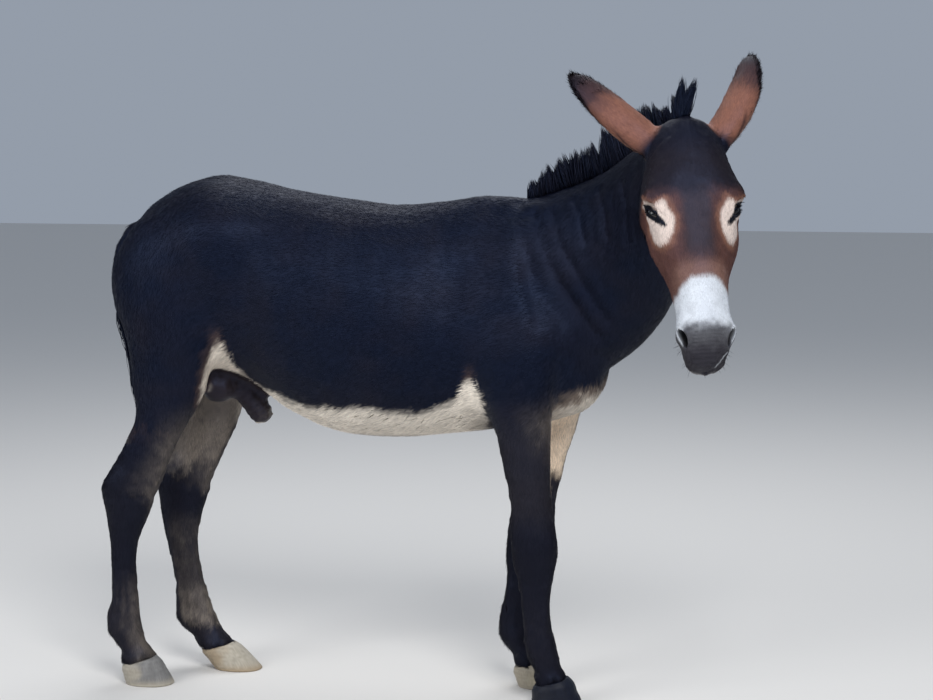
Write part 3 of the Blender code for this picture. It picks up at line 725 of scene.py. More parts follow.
    def face(self, points: Array, ragged: Array) -> Array:
        """The face: dark forehead, brown cheeks, cream rings, white muzzle and grey nose.

        Args:
            points: The points.
            ragged: The unevenness of the edges at each point.

        Returns:
            Each point's colour.
        """
        down, left, out = HEAD.read(points)
        aside = np.abs(left)
        forehead = ramp(0.205, 0.15, down + 0.01 * ragged)
        stripe = ramp(0.052, 0.018, aside + 0.006 * ragged) * ramp(0.375, 0.285, down)
        behind = ramp(-0.115, -0.155, out + 0.01 * ragged) * ramp(0.4, 0.33, down)
        colour = layered(
            np.tile(self.face_brown, (len(points), 1)),
            (self.nose_stripe, 0.9 * stripe),
            (self.brown_black, np.maximum(forehead, behind)),
            (self.black, ramp(0.1, 0.02, down) * 0.7),
        )
        for eye in EYES.values():
            brow, ring = (eye.ring_share(points, ragged, grow) for grow in (1.28, 1.0))
            colour = layered(colour, (self.brow, 0.8 * brow), (self.ring, ring))
        warm = ramp(0.315, 0.355, down) * ramp(0.07, 0.045, aside)
        start = 0.369 + 0.9 * np.maximum(aside - 0.026, 0.0) + 0.25 * np.maximum(-0.06 - out, 0.0)
        grey = ramp(0.464, 0.492, down + 0.01 * ragged + 0.1 * np.maximum(0.04 - aside, 0.0))
        chin = ramp(0.455, 0.49, down) * ramp(-0.104, -0.116, out + 0.003 * ragged)
        off_lip = off_line(np.stack([down, left, out], axis=1), np.array(self.lip_line))
        colour = layered(
            colour,
            (self.cheek_pale, 0.7 * warm),
            (self.muzzle, ramp(-0.01, 0.012, down - start + 0.006 * ragged)),
            (self.nose, grey * (0.93 + 0.05 * ragged)),
            (self.nose_low, ramp(0.494, 0.536, down + 0.008 * ragged)),
            (self.chin, 0.8 * chin),
            (self.muzzle, 0.65 * bell(off_lip, 0.0017)),
        )
        # dark lids and nostrils: bare dark skin, with painted shade round the slits and in the hollows
        for eye in EYES.values():
            colour = mixed(colour, self.dark_skin_and_shade, eye.lid_and_socket_shade(points))
        for nostril in NOSTRILS.values():
            rim, dark = nostril.rim_share(points), nostril.hollow_dark_and_shade(points)
            colour = layered(colour, (self.muzzle, 0.7 * rim), (self.dark_skin_and_shade, dark))
        return colour

    def ears(self, colour: Array, points: Array, facing: Array, ragged: Array) -> Array:
        """Adds the ears: brown, with dark edges and tips, pale hair inside and at the foot, and painted
        shade along a fold low on the ear.

        Args:
            colour: Each point's colour so far.
            points: The points.
            facing: The surface's normals there.
            ragged: The unevenness of the edges at each point.

        Returns:
            Each point's new colour.
        """
        for side, share in ear_shares(points).items():
            ear = EARS[side]
            along, edge = ear.read(points)
            inside = ramp(0.0, 0.4, facing @ ear.opening) * ramp(0.97, 0.88, edge)
            low_edge = ramp(0.7, 0.95, edge) * ramp(0.14, 0.06, along)
            dark_edge = ramp(0.8, 0.95, edge + 0.05 * ragged) * ramp(0.1, 0.18, along)
            tip = ramp(0.74, 0.94, along + 0.04 * ragged)
            # painted shade along the fold low on the ear
            fold_shade = bell(edge - 0.6, 0.035) * ramp(0.01, 0.05, along) * ramp(0.36, 0.22, along)
            own = layered(
                np.tile(self.ear_brown, (len(points), 1)),
                (self.pale_hair, 0.14 * inside),
                (self.ear_dark, ramp(0.42, 0.74, along + 0.06 * ragged)),
                (self.pale_hair, 0.6 * low_edge),
                (self.brown_black, np.maximum.reduce((dark_edge, tip, 0.85 * fold_shade)) * 0.9),
            )
            colour = mixed(colour, own, share)
        return colour


# ---- Eyes and nostrils: places that the skin, the markings and the coat share
def feature_axes(side: str, run: Triple, facing: Triple) -> tuple[Array, Array, Array]:
    """The axes of an eye or a nostril.

    Args:
        side: left or right.
        run: The way along it, in the head's axes, as it is on the left.
        facing: The way that it faces, given in the same manner.

    Returns:
        The ways along it, out of it and across it.
    """
    sign = SIDES[side]
    along, out = (HEAD.way(down, left * sign, forward) for down, left, forward in (run, facing))
    along = along / np.linalg.norm(along)
    out = out - along * (out @ along)
    out = out / np.linalg.norm(out)
    return along, out, np.cross(out, along) * sign


@dataclass
class EyePlace:
    """One eye: its ball, and the almond that its lids leave open."""

    side: str
    slit: Triple = (0.75, -0.5, 0.43)  # from the outer to the inner corner, in the head's axes, on the left
    gaze: Triple = (0.1, 0.76, 0.64)
    half_length: float = 0.022
    top: float = 0.0046
    bottom: float = 0.006
    sink: float = 0.004  # how far the ball sits inside the frame's own
    shift: float = 0.006  # and how far it sits towards the nose
    ring: tuple[tuple[float, float], ...] = (
        (-180, 0.062), (-165, 0.042), (-145, 0.037), (-120, 0.036), (-97, 0.039), (-72, 0.049), (-55, 0.056),
        (-37, 0.058), (-24, 0.054), (-10, 0.049), (9, 0.042), (29, 0.0385), (55, 0.0355), (79, 0.037),
        (94, 0.043), (104, 0.042), (114, 0.034), (125, 0.031), (138, 0.032), (162, 0.05), (180, 0.062),
    )  # how far the cream ring reaches at each angle, in degrees up from the inner corner
    ring_ahead: float = 0.022  # how far the ring's middle lies ahead of the eye's
    wedge: tuple[tuple[float, float], ...] = (
        (-0.036, 0), (-0.028, 0.0075), (-0.012, 0.0115), (0.012, 0.0112), (0.034, 0.007), (0.048, 0.0035),
        (0.054, 0),
    )  # half the height of the dark wedge along the slit: bare lids, and past them painted shade of the lids and the socket
    centre: Array = field(init=False)
    radius: float = field(init=False)
    along: Array = field(init=False)
    up: Array = field(init=False)
    facing: Array = field(init=False)

    def __post_init__(self) -> None:
        """Finds the ball in the frame and sets the eye's own axes."""
        low, high = box_corners(f"eye_{self.side}")
        self.radius = float((high - low).max() / 2)
        self.along, self.facing, self.up = feature_axes(self.side, self.slit, self.gaze)
        self.centre = (low + high) / 2 - self.facing * self.sink + self.along * self.shift
        if self.up @ HEAD.down > 0:
            self.up = -self.up

    def read(self, points: Array) -> tuple[Array, Array, Array]:
        """The points' places along the slit, up from it and out of the eye."""
        moved = points - self.centre
        return moved @ self.along, moved @ self.up, moved @ self.facing

    def opening(self, points: Array, grow: float = 0.0) -> Array:
        """How far inside the open almond each point is: over 0 inside, under 0 outside, in metres.

        Args:
            points: The points.
            grow: How much wider than the opening the almond is drawn.

        Returns:
            The signed depth.
        """
        along, up, _ = self.read(points)
        share = np.clip(along / (self.half_length + grow), -1.0, 1.0)
        arch = np.sqrt(1.0 - share**2)
        bow = 0.002 * (1.0 - share**2)
        over = bow + (self.top + grow) * arch - up
        under = up - bow + (self.bottom + grow) * arch
        ends = (self.half_length + grow) - np.abs(along)
        return np.minimum(np.minimum(over, under), ends)

    def near(self, points: Array, reach: float = 0.06) -> Array:
        """1 at points on the eye's own side of the head and close to it, and 0 elsewhere."""
        away = off_place(points, self.centre)
        return ramp(reach, reach * 0.8, away) * (self.read(points)[2] > -0.004)

    def lid_and_socket_shade(self, points: Array) -> Array:
        """How much of each point is dark: bare dark lid, and painted shade of the lids and socket in a wedge
        along the slit.

        Args:
            points: The points.

        Returns:
            The share of each point.
        """
        along, up, _ = self.read(points)
        lids = ramp(-0.0015, 0.001, self.opening(points, grow=0.004))
        # the wedge is painted shade of the lids and the socket, reaching past the lids along the slit
        half = np.interp(along, *np.array(self.wedge).T)
        wedge = ramp(0.0015, -0.0015, np.abs(up - 0.001 + 0.04 * np.maximum(along, 0.0)) - half)
        wedge = wedge * (along > self.wedge[0][0]) * (along < self.wedge[-1][0])
        return np.clip(np.maximum(lids, wedge), 0.0, 1.0) * self.near(points, 0.08)

    def ring_share(self, points: Array, ragged: Array, grow: float = 1.0) -> Array:
        """How much of each point is in the cream ring round the eye.

        Args:
            points: The points.
            ragged: The unevenness of the edge at each point.
            grow: How much larger than the ring the patch is drawn.

        Returns:
            The share of each point.
        """
        along, up, _ = self.read(points)
        ahead = along - self.ring_ahead
        edge = np.interp(np.degrees(np.arctan2(up, ahead)), *np.array(self.ring).T)
        reach = np.hypot(ahead, up) / edge / grow - 0.1 * ragged
        return ramp(1.12, 0.88, reach) * self.near(points, 0.115)


@dataclass
class NostrilPlace:
    """One nostril: a comma-shaped hollow beside the nose."""

    side: str
    middle: Triple = (0.497, 0.048, -0.04)
    run: Triple = (0.93, -0.26, -0.24)
    facing_way: Triple = (0.26, 0.8, 0.52)
    half_length: float = 0.021
    half_width: float = 0.0078
    bend: float = 0.006
    depth: float = 0.024
    centre: Array = field(init=False)
    along: Array = field(init=False)
    across: Array = field(init=False)
    facing: Array = field(init=False)

    def __post_init__(self) -> None:
        """Sets the nostril's axes from the head's."""
        down, left, out = self.middle
        self.centre = HEAD.at(down, left * SIDES[self.side], out)
        self.along, self.facing, self.across = feature_axes(self.side, self.run, self.facing_way)

    def inside(self, points: Array, grow: float = 0.0) -> Array:
        """How far inside the comma each point is, in metres, under 0 outside.

        Args:
            points: The points.
            grow: How much wider than the nostril the comma is drawn.

        Returns:
            The signed depth.
        """
        moved = points - self.centre
        along, across = moved @ self.along, moved @ self.across
        share = np.clip(along / (self.half_length + grow), -1.0, 1.0)
        across = across - self.bend * (share**2 - 0.4)
        half = (self.half_width * (1.0 - 0.35 * share) + grow) * np.sqrt(1.0 - share**2)
        return np.minimum(half - np.abs(across), self.half_length + grow - np.abs(along))

    def near(self, points: Array) -> Array:
        """1 near the nostril on its own side, and 0 elsewhere."""
        away = off_place(points, self.centre)
        return ramp(0.05, 0.04, away)

    def hollow_dark_and_shade(self, points: Array) -> Array:
        """How much of each point is the dark inside: dark skin, with painted shade of the hollow."""
        return ramp(-0.0022, 0.0004, self.inside(points)) * self.near(points)

    def rim_share(self, points: Array) -> Array:
        """How much of each point is the pale rim, on the outer side."""
        aside = (points - self.centre) @ HEAD.left * SIDES[self.side]
        outer = ramp(0.001, 0.006, aside)
        return ramp(-0.011, -0.004, self.inside(points)) * outer * self.near(points)


def close_to(points: Array, features: dict[str, EyePlace | NostrilPlace], reach: float) -> Array:
    """True at points within the reach of a feature's middle."""
    away = [off_place(points, feature.centre) for feature in features.values()]
    return np.min(away, axis=0) < reach


EYES = {side: EyePlace(side) for side in SIDES}
NOSTRILS = {side: NostrilPlace(side) for side in SIDES}
MARKINGS = Markings()


# ---- Finishes
class Part(Enum):
    """The slots for the kinds of piece."""

    COAT = "black_coat"
    HAIR = "long_hair"
    EYE = "eye"
    HORN = "horn"


def fill(tree: NodeTree, node: Node, inputs: dict) -> None:
    """Sets a node's inputs, by name or number, to values or links them from other nodes' outputs.

    Args:
        tree: The tree that they are in.
        node: The node.
        inputs: What each input takes.
    """
    for key, value in inputs.items():
        if isinstance(value, NodeSocket):
            tree.links.new(value, node.inputs[key])
        else:
            node.inputs[key].default_value = value


def add_node(tree: NodeTree, kind: str, inputs: dict | None = None, **settings: object) -> Node:
    """Adds a shader node.

    Args:
        tree: Where it goes.
        kind: Its type, without the words that all types begin with.
        inputs: What its inputs are filled with.
        settings: Its own settings by name.

    Returns:
        The node.
    """
    made = tree.nodes.new(f"ShaderNode{kind}")
    for key, value in settings.items():
        setattr(made, key, value)
    fill(tree, made, inputs or {})
    return made


def fur_grain_group() -> NodeTree:
    """The fine streaks of short hair: a tint from dark to light, and a height for the bump.

    Returns:
        The group.
    """
    group = bpy.data.node_groups.new("fur grain", "ShaderNodeTree")
    for name, value in {"Fineness": 700.0, "Tint": 0.35}.items():
        socket = group.interface.new_socket(name, in_out="INPUT", socket_type="NodeSocketFloat")
        socket.default_value = value
    for name in ("Shade", "Height"):
        group.interface.new_socket(name, in_out="OUTPUT", socket_type="NodeSocketFloat")
    given = group.nodes.new("NodeGroupInput").outputs
    where = add_node(group, "Attribute", attribute_name="grain").outputs["Vector"]
    fine = {"Vector": where, "Scale": given["Fineness"], "Detail": 3.0, "Roughness": 0.6}
    streak = add_node(group, "TexNoise", fine).outputs["Fac"]
    patch = add_node(group, "TexNoise", {"Vector": where, "Scale": 9.0, "Detail": 4.0}).outputs["Fac"]
    both = add_node(group, "Math", {0: streak, 1: patch}, operation="ADD").outputs[0]
    centred = add_node(group, "Math", {0: both, 1: 1.0}, operation="SUBTRACT").outputs[0]
    shade = add_node(group, "Math", {0: centred, 1: given["Tint"], 2: 1.0}, operation="MULTIPLY_ADD")
    fill(group, group.nodes.new("NodeGroupOutput"), {"Shade": shade.outputs[0], "Height": streak})
    return group


def new_material(name: str, roughness: float, **constants: object) -> tuple[Material, Node]:
    """A node material with its Principled shader's constants set.

    Args:
        name: The material's name.
        roughness: The shader's roughness.
        constants: Other sockets of the shader, with _ for a space.

    Returns:
        The material and its shader.
    """
    made = bpy.data.materials.new(name)
    made.use_nodes = True
    shader = made.node_tree.nodes["Principled BSDF"]
    named = {key.replace("_", " "): value for key, value in constants.items()}
    fill(made.node_tree, shader, {"Roughness": roughness, **named})
    return made, shader


@dataclass(frozen=True)
class CoatFinish:
    """Hair in the colours of the markings, with the grain of the coat."""

    name: str
    grain: NodeTree
    roughness: float = 0.5
    tint: float = 0.6
    bump: float = 0.25
    bump_depth: float = 0.0006
    shine: float = 0.26
    # the blue tint is painted sky reflection in the coat's shine
    shine_tint: Colour = (0.42, 0.56, 1.0)

    def build(self) -> Material:
        """Makes the material.

        Returns:
            The material.
        """
        made, shader = new_material(
            self.name, self.roughness, Specular_IOR_Level=self.shine, Specular_Tint=(*self.shine_tint, 1.0)
        )
        tree = made.node_tree
        colour = add_node(tree, "Attribute", attribute_name="markings").outputs["Color"]
        fur = add_node(tree, "Group", {"Tint": self.tint}, node_tree=self.grain).outputs
        shaded = add_node(tree, "VectorMath", {0: colour, "Scale": fur["Shade"]}, operation="SCALE")
        rough = {"Strength": self.bump, "Distance": self.bump_depth, "Height": fur["Height"]}
        bump = add_node(tree, "Bump", rough)
        fill(tree, shader, {"Base Color": shaded.outputs[0], "Normal": bump.outputs["Normal"]})
        return made


@dataclass(frozen=True)
class HornFinish:
    """Dry horn in the hoof's own colours, with a fine grain that runs down it."""

    name: str = "hoof horn"
    roughness: float = 0.55
    shine: float = 0.25
    fineness: float = 420.0
    squeeze: Triple = (1.0, 1.0, 0.15)
    bump: float = 0.35
    bump_depth: float = 0.0008

    def build(self) -> Material:
        """Makes the material.

        Returns:
            The material.
        """
        made, shader = new_material(self.name, self.roughness, Specular_IOR_Level=self.shine)
        tree = made.node_tree
        colour = add_node(tree, "Attribute", attribute_name="markings").outputs["Color"]
        place = add_node(tree, "TexCoord").outputs["Object"]
        squeezed = add_node(tree, "Mapping", {"Vector": place, "Scale": self.squeeze}).outputs["Vector"]
        grain = add_node(tree, "TexNoise", {"Vector": squeezed, "Scale": self.fineness, "Detail": 3.0})
        rough = {"Strength": self.bump, "Distance": self.bump_depth, "Height": grain.outputs["Fac"]}
        bump = add_node(tree, "Bump", rough)
        fill(tree, shader, {"Base Color": colour, "Normal": bump.outputs["Normal"]})
        return made


@dataclass(frozen=True)
class EyeFinish:
    """Wet gloss over the eye's own colours."""

    name: str = "wet eye"
    roughness: float = 0.22
    wetness: float = 0.5
    wet_roughness: float = 0.06

    def build(self) -> Material:
        """Makes the material.

        Returns:
            The material.
        """
        made, shader = new_material(
            self.name, self.roughness, Coat_Roughness=self.wet_roughness, Coat_Weight=self.wetness
        )
        colour = add_node(made.node_tree, "Attribute", attribute_name="eye_colour").outputs["Color"]
        fill(made.node_tree, shader, {"Base Color": colour})
        return made


def dress(piece: Object, finish: Material, part: Part, *nodes: str) -> None:
    """Gives a piece its finish, hangs it on the body's root and hides the frame's nodes that it replaces.

    Args:
        piece: The piece.
        finish: Its material.
        part: The slot that it belongs to. It is not used.
        nodes: The frame's nodes that it replaces.
    """
    piece.data.materials.clear()
    piece.data.materials.append(finish)
    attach(piece, "root")
    if nodes:
        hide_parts(*nodes)
    LOG.info("%s: %d faces", piece.name, len(piece.data.polygons))


# ---- The skin
@dataclass
class Skin:
    """One skin over the whole body, inside the solids by the depth of the coat."""

    flesh: tuple[str, ...] = (
        "trunk", "neck", "head", "foreleg_left", "foreleg_right", "hindleg_left", "hindleg_right",
        "sheath", "scrotum",
    )
    voxel: float = 0.0116
    closing: float = 0.0009  # how far each piece is swelled, so that the parting cuts close
    coat_depth: float = 0.003
    face_depth: float = 0.0012
    tail_depth: float = 0.01  # how much further in it lies under the tail's hair
    smoothing: int = 5

    def build(self, finish: Material) -> Object:
        """Joins the flesh, evens it, refines the head, shapes the whole and colours it.

        Args:
            finish: The skin's material.

        Returns:
            The skin.
        """
        copies = [node_copy(f"{node} flesh", node) for node in (*self.flesh, "tail")]
        for copy in copies:
            set_places(copy.data, places(copy.data) + normals(copy.data) * self.closing)
        make_active(copies[0])
        for copy in copies[1:]:
            copy.select_set(True)
        bpy.ops.object.join()
        skin = copies[0]
        skin.name = "skin"
        apply(skin, "REMESH", mode="VOXEL", voxel_size=self.voxel)
        mesh = skin.data
        set_places(mesh, smoothed(places(mesh), edge_ends(mesh), self.smoothing))
        self.inset(mesh)
        self.add_ears(skin)
        apply(skin, "TRIANGULATE")
        for zone in (self.limb_zone, self.face_zone, self.feature_zone):
            self.refine(skin, zone)
        mesh = skin.data
        SkinShaper(mesh).shape()
        mesh.shade_smooth()
        mesh.name = "skin"
        points, facing = places(mesh), normals(mesh)
        colour_attribute(mesh, "markings", MARKINGS.at(points, facing))
        store_grain(mesh, points, lie(points, facing))
        dress(skin, finish, Part.COAT, *self.flesh, "ear_left", "ear_right")
        return skin

    def inset(self, mesh: Mesh) -> None:
        """Draws the skin in by the coat's depth, least on the face and feet, most under the tail's hair.

        Args:
            mesh: The skin's mesh.
        """
        points = places(mesh)
        x, _, z = points.T
        thin = np.maximum(BEYOND_THROAT.share(points), ramp(0.62, 0.4, z))
        depth = self.coat_depth + self.closing + (self.face_depth - self.coat_depth) * thin
        low, high = box_corners("tail")
        tail = ramp(low[0] + 0.075, low[0] + 0.065, x) * ramp(low[2] + 0.3, low[2] + 0.18, z)
        tail = tail * (z > low[2] - 0.01) * (x < high[0] - 0.01) * self.near_node(points, "tail")
        set_places(mesh, points - normals(mesh) * (depth + self.tail_depth * tail)[:, None])

    @staticmethod
    def near_node(points: Array, node: str, reach: float = 0.006) -> Array:
        """1 at points that lie close to a node's surface, and 0 elsewhere.

        Args:
            points: The points.
            node: The node.
            reach: How close is close.

        Returns:
            1 or 0 for each point.
        """
        tree = tree_of(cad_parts[node].data)
        low, high = box_corners(node)
        boxed = np.all((points > low - 0.02) & (points < high + 0.02), axis=1)
        near = np.zeros(len(points))
        for index in np.flatnonzero(boxed):
            near[index] = tree.find_nearest(Vector(points[index]), reach)[0] is not None
        return near

    def add_ears(self, skin: Object) -> None:
        """Unites the ears with the skin and rounds the join.

        Args:
            skin: The skin.
        """
        skull = tree_of(skin.data)
        for side, ear in EARS.items():
            leaf = node_copy(f"ear_{side} flesh", f"ear_{side}")
            apply(leaf, "SUBSURF", levels=2, render_levels=2)
            points = places(leaf.data)
            off = np.array([skull.find_nearest(Vector(point))[3] for point in points])
            points = points - normals(leaf.data) * self.face_depth * 0.8
            points = points - ear.axis * (0.02 * ramp(0.014, 0.003, off))[:, None]
            set_places(leaf.data, points)
            apply(skin, "BOOLEAN", operation="UNION", object=leaf, solver="MANIFOLD")
            bpy.data.objects.remove(leaf)
        self.round_joins(skin.data, skull)

    @staticmethod
    def round_joins(mesh: Mesh, skull: BVHTree) -> None:
        """Evens the skin where the ears grow out of the head.

        Args:
            mesh: The skin's mesh.
            skull: The skin as it was without ears.
        """
        points = places(mesh)
        share = np.zeros(len(points))
        for ear in EARS.values():
            along = (points - ear.foot) @ ear.axis
            away = off_place(points, ear.foot)
            for index in np.flatnonzero((away < 0.085) & (along > -0.03)):
                off = skull.find_nearest(Vector(points[index]))[3]
                share[index] = max(0.0, 1.0 - off / 0.016)
        ends = edge_ends(mesh)
        for _ in range(10):
            points = points + (neighbour_mean(points, ends) - points) * (0.6 * share)[:, None]
        set_places(mesh, points)

    @staticmethod
    def limb_zone(points: Array) -> Array:
        """True on the head and the lower legs, which are refined first."""
        ears = np.maximum(*ear_shares(points).values()) > 0.5
        head = (BEYOND_THROAT.share(points) > 0.9) & ~ears
        return head | (points[:, 2] < 0.3) | Skin.sheath_zone(points)

    @staticmethod
    def sheath_zone(points: Array) -> Array:
        """True on the sheath and the scrotum."""
        x, y, z = points.T
        return (x > -0.6) & (x < -0.37) & (np.abs(y - MIDDLE_Y) < 0.075) & (z > 0.62) & (z < 0.8)

    @staticmethod
    def face_zone(points: Array) -> Array:
        """True on the muzzle and round the eyes, which are refined again."""
        zone = (HEAD.read(points)[0] > 0.44) | close_to(points, EYES, 0.05)
        return zone & (BEYOND_THROAT.share(points) > 0.9) | Skin.sheath_zone(points)

    @staticmethod
    def feature_zone(points: Array) -> Array:
        """True round the eyes and the nostrils, which are refined once more."""
        return close_to(points, EYES, 0.04) | close_to(points, NOSTRILS, 0.03)

    @staticmethod
    def refine(skin: Object, zone: Callable[[Array], Array]) -> None:
        """Halves the edges of the triangles in a zone and evens them.

        Args:
            skin: The skin.
            zone: Tells for each point whether it is in the zone.
        """
        mesh = bmesh.new()
        mesh.from_mesh(skin.data)
        mesh.edges.ensure_lookup_table()
        chosen = zone(places(skin.data))
        both = np.flatnonzero(chosen[edge_ends(skin.data)].all(axis=1))
        bmesh.ops.subdivide_edges(mesh, edges=[mesh.edges[index] for index in both], cuts=1)
        bmesh.ops.triangulate(mesh, faces=mesh.faces)
        mesh.to_mesh(skin.data)
        mesh.free()
        points = places(skin.data)
        set_places(skin.data, smoothed(points, edge_ends(skin.data), 2, zone(points).astype(float)))


def store_grain(mesh: Mesh, points: Array, way: Array) -> None:
    """Stores places squeezed along the hair, so that a noise read there runs in streaks.

    Args:
        mesh: The mesh.
        points: Its vertices' places.
        way: How the hair lies there.
    """
    along = np.sum(points * way, axis=1)
    squeezed = points - way * (along * 0.9)[:, None]
    layer = mesh.attributes.new("grain", "FLOAT_VECTOR", "POINT")
    layer.data.foreach_set("vector", squeezed.astype(np.float32).ravel())


class SkinShaper:
    """Moves the skin's vertices, as a sculptor's tools do, into lids, nostrils, lips, folds and muscles."""

    creases = (
        (0.013, 0.005, (
            (0.315, 0.097, 1.159), (0.338, 0.058, 1.092), (0.376, 0.037, 1.036), (0.412, 0.032, 0.979),
            (0.447, 0.035, 0.927),
        )),
        (0.014, 0.0045, (
            (0.271, 0.111, 1.158), (0.301, 0.067, 1.091), (0.34, 0.047, 1.012), (0.387, 0.044, 0.943),
            (0.426, 0.051, 0.885),
        )),
        (0.016, 0.0035, (
            (0.23, 0.142, 1.184), (0.258, 0.072, 1.102), (0.279, 0.037, 0.988), (0.298, 0.017, 0.921),
        )),
        (0.009, 0.003, ((0.367, 0.096, 1.194), (0.383, 0.064, 1.161), (0.399, 0.036, 1.105))),
        (0.009, 0.0026, ((0.43, 0.058, 1.219), (0.447, 0.02, 1.175), (0.454, 0.005, 1.119))),
        (0.008, 0.0024, ((0.487, -0.001, 1.244), (0.504, -0.04, 1.19), (0.504, -0.032, 1.111))),
    )  # each one's width, depth and run, on the side that the neck bends to
    swells = (
        ((0.262, 0.088, -0.088), (0.055, 0.03, 0.01), 0.0035),  # facial crest
        ((0.255, 0.055, -0.01), (0.06, 0.016, 0.03), -0.0035),  # hollow beside the nose bone
        ((0.15, 0.045, 0.01), (0.05, 0.03, 0.04), 0.0025),  # forehead
        ((0.48, 0.048, -0.022), (0.03, 0.016, 0.02), 0.004),  # upper wing of the nostril
        ((0.425, 0.045, -0.02), (0.03, 0.018, 0.03), -0.0035),  # before the nostril
        ((0.53, 0.0, -0.06), (0.022, 0.04, 0.03), 0.003),  # upper lip
        ((0.545, 0.034, -0.1), (0.018, 0.016, 0.022), 0.0045),  # sides of the lips
        ((0.5, 0.062, -0.054), (0.022, 0.014, 0.018), 0.006),  # outer wing of the nostril
    )  # each one's middle, reach and height, in the head's axes and on both sides
    vein = ((0.225, 0.06, -0.03), (0.28, 0.068, -0.055), (0.345, 0.066, -0.06), (0.4, 0.058, -0.075))
    seam = (
        (0.425, 0.06, -0.098), (0.46, 0.06, -0.1), (0.5, 0.054, -0.103),
        (0.528, 0.04, -0.104), (0.545, 0.02, -0.102), (0.55, 0.0, -0.1),
    )  # where the lips meet
    lid_folds = (
        (0.0012, 0.0016, 0, 0.001), (0.0085, 0.002, 1, -0.0018), (0.015, 0.0026, 1, -0.0013),
        (0.01, 0.0022, -1, -0.0011), (0.005, 0.0028, 1, 0.0012),
    )  # each one's distance from the opening, width, side (1 above, -1 below, 0 both) and height
    joints = {"fore": 0.385, "hind": 0.505}  # the heights of the knees and the hocks
    fetlock, pastern = 0.118, 0.082

    def __init__(self, mesh: Mesh) -> None:
        """Reads the mesh."""
        self.mesh = mesh
        self.points = places(mesh)
        self.facing = normals(mesh)

    def push(self, amount: Array) -> None:
        """Moves each vertex along its normal."""
        self.points = self.points + self.facing * amount[:, None]

    def renew(self) -> None:
        """Writes the places back and reads the new normals."""
        set_places(self.mesh, self.points)
        self.facing = normals(self.mesh)

    def shape(self) -> None:
        """Shapes everything in order, the large forms first."""
        self.muscles()
        self.leg_forms()
        self.neck_folds()
        self.sheath_wrinkles()
        self.renew()
        self.face_forms()
        self.renew()
        self.lips()
        self.renew()
        for nostril in NOSTRILS.values():
            self.nostril(nostril)
        for eye in EYES.values():
            self.eyelids(eye)
        self.renew()

    def muscles(self) -> None:
        """Slight unevenness of muscle and rib under the coat."""
        points = self.points
        x, y, z = points.T
        trunk = (1.0 - legs_share(points)) * (1.0 - BEYOND_THROAT.share(points))
        rough = 0.0022 * lumps(points, 0.085, 21) + 0.001 * lumps(points, 0.04, 22)
        barrel = ramp(-0.3, -0.2, x) * ramp(0.16, 0.06, x) * ramp(0.74, 0.84, z)
        barrel = barrel * ramp(1.12, 1.02, z)
        ribs = 0.0003 * np.sin((x + 0.12 * (z - 0.9)) * 2 * np.pi / 0.047) * barrel
        spine = 0.004 * bell(y - MIDDLE_Y, 0.022) * ramp(1.12, 1.18, z) * ramp(0.22, 0.12, x)
        self.push(trunk * (rough + ribs + spine))

    def leg_forms(self) -> None:
        """Tendons, knee and hock bones, and the ergots."""
        points = self.points
        z = points[:, 2]
        for node in LEGS:
            low, high = box_corners(node)
            fore = node.startswith("fore")
            own = (points[:, 1] > low[1] - 0.01) & (points[:, 1] < high[1] + 0.01)
            own &= (points[:, 0] > low[0] - 0.02) & (points[:, 0] < high[0] + 0.02)
            side, ahead = np.abs(self.facing[:, 1]), self.facing[:, 0]
            cannon = own * ramp(0.34, 0.29, z) * ramp(0.11, 0.16, z)
            groove = bell(np.abs(ahead) - 0.15, 0.28) * side
            self.push(-0.0036 * cannon * groove)
            joint = self.joints[node[:4]]
            bone = bell(z - joint, 0.032) * ramp(0.2, 0.8, side)
            shield = bell(z - joint, 0.038) * ramp(0.2, 0.9, ahead) * fore
            point = bell(z - joint - 0.045, 0.022) * ramp(0.5, 0.95, -ahead) * (not fore)
            fetlock = bell(z - self.fetlock, 0.024) * (0.5 + 0.5 * np.abs(ahead))
            self.push(own * (0.0038 * bone + 0.0034 * shield + 0.003 * point + 0.0024 * fetlock))
            creases = bell(z - joint + 0.036, 0.0045) + 0.7 * bell(z - joint + 0.002, 0.004)
            self.push(-0.0016 * own * creases * ramp(-0.2, 0.3, ahead))
            pastern = bell(z - self.pastern, 0.01) * ramp(0.2, 0.7, -ahead)
            rough = lumps(points, 0.022, 23) * ramp(0.66, 0.55, z)
            self.push(own * (-0.003 * pastern + 0.0014 * rough))

    def neck_folds(self) -> None:
        """Folds where the neck bends: long creases that run down it, deepest near the throat."""
        points = self.points
        neck = BEYOND_SHOULDER.share(points) * (1.0 - BEYOND_THROAT.share(points))
        ahead = np.array([0.8, -0.55, -0.1])
        across = points @ (ahead / np.linalg.norm(ahead)) + 0.03 * lumps(points, 0.11, 24)
        folds = np.abs(np.sin(across * np.pi / 0.034)) ** 0.6 - 0.75
        near_side = ramp(0.1, -0.6, self.facing[:, 1])
        depth = 0.0017 * near_side * ramp(0.02, 0.3, points[:, 0] - 0.25)
        amount = depth * neck * folds * (0.6 + 0.5 * lumps(points, 0.12, 25))
        for width, deep, line in self.creases:
            away = off_line(points, np.array(line))
            amount += near_side * (0.45 * bell(away - 2.1 * width, width) - bell(away, width)) * deep
        self.push(amount)

    def sheath_wrinkles(self) -> None:
        """Cross wrinkles along the sheath."""
        points = self.points
        near = Skin.near_node(points, "sheath", 0.008)
        along = points @ np.array([0.65, 0.0, -0.76])
        rings = np.sin(along * 2 * np.pi / 0.016 + 3.5 * lumps(points, 0.03, 26))
        self.push(near * (0.0006 * rings + 0.001 * lumps(points, 0.012, 28)))

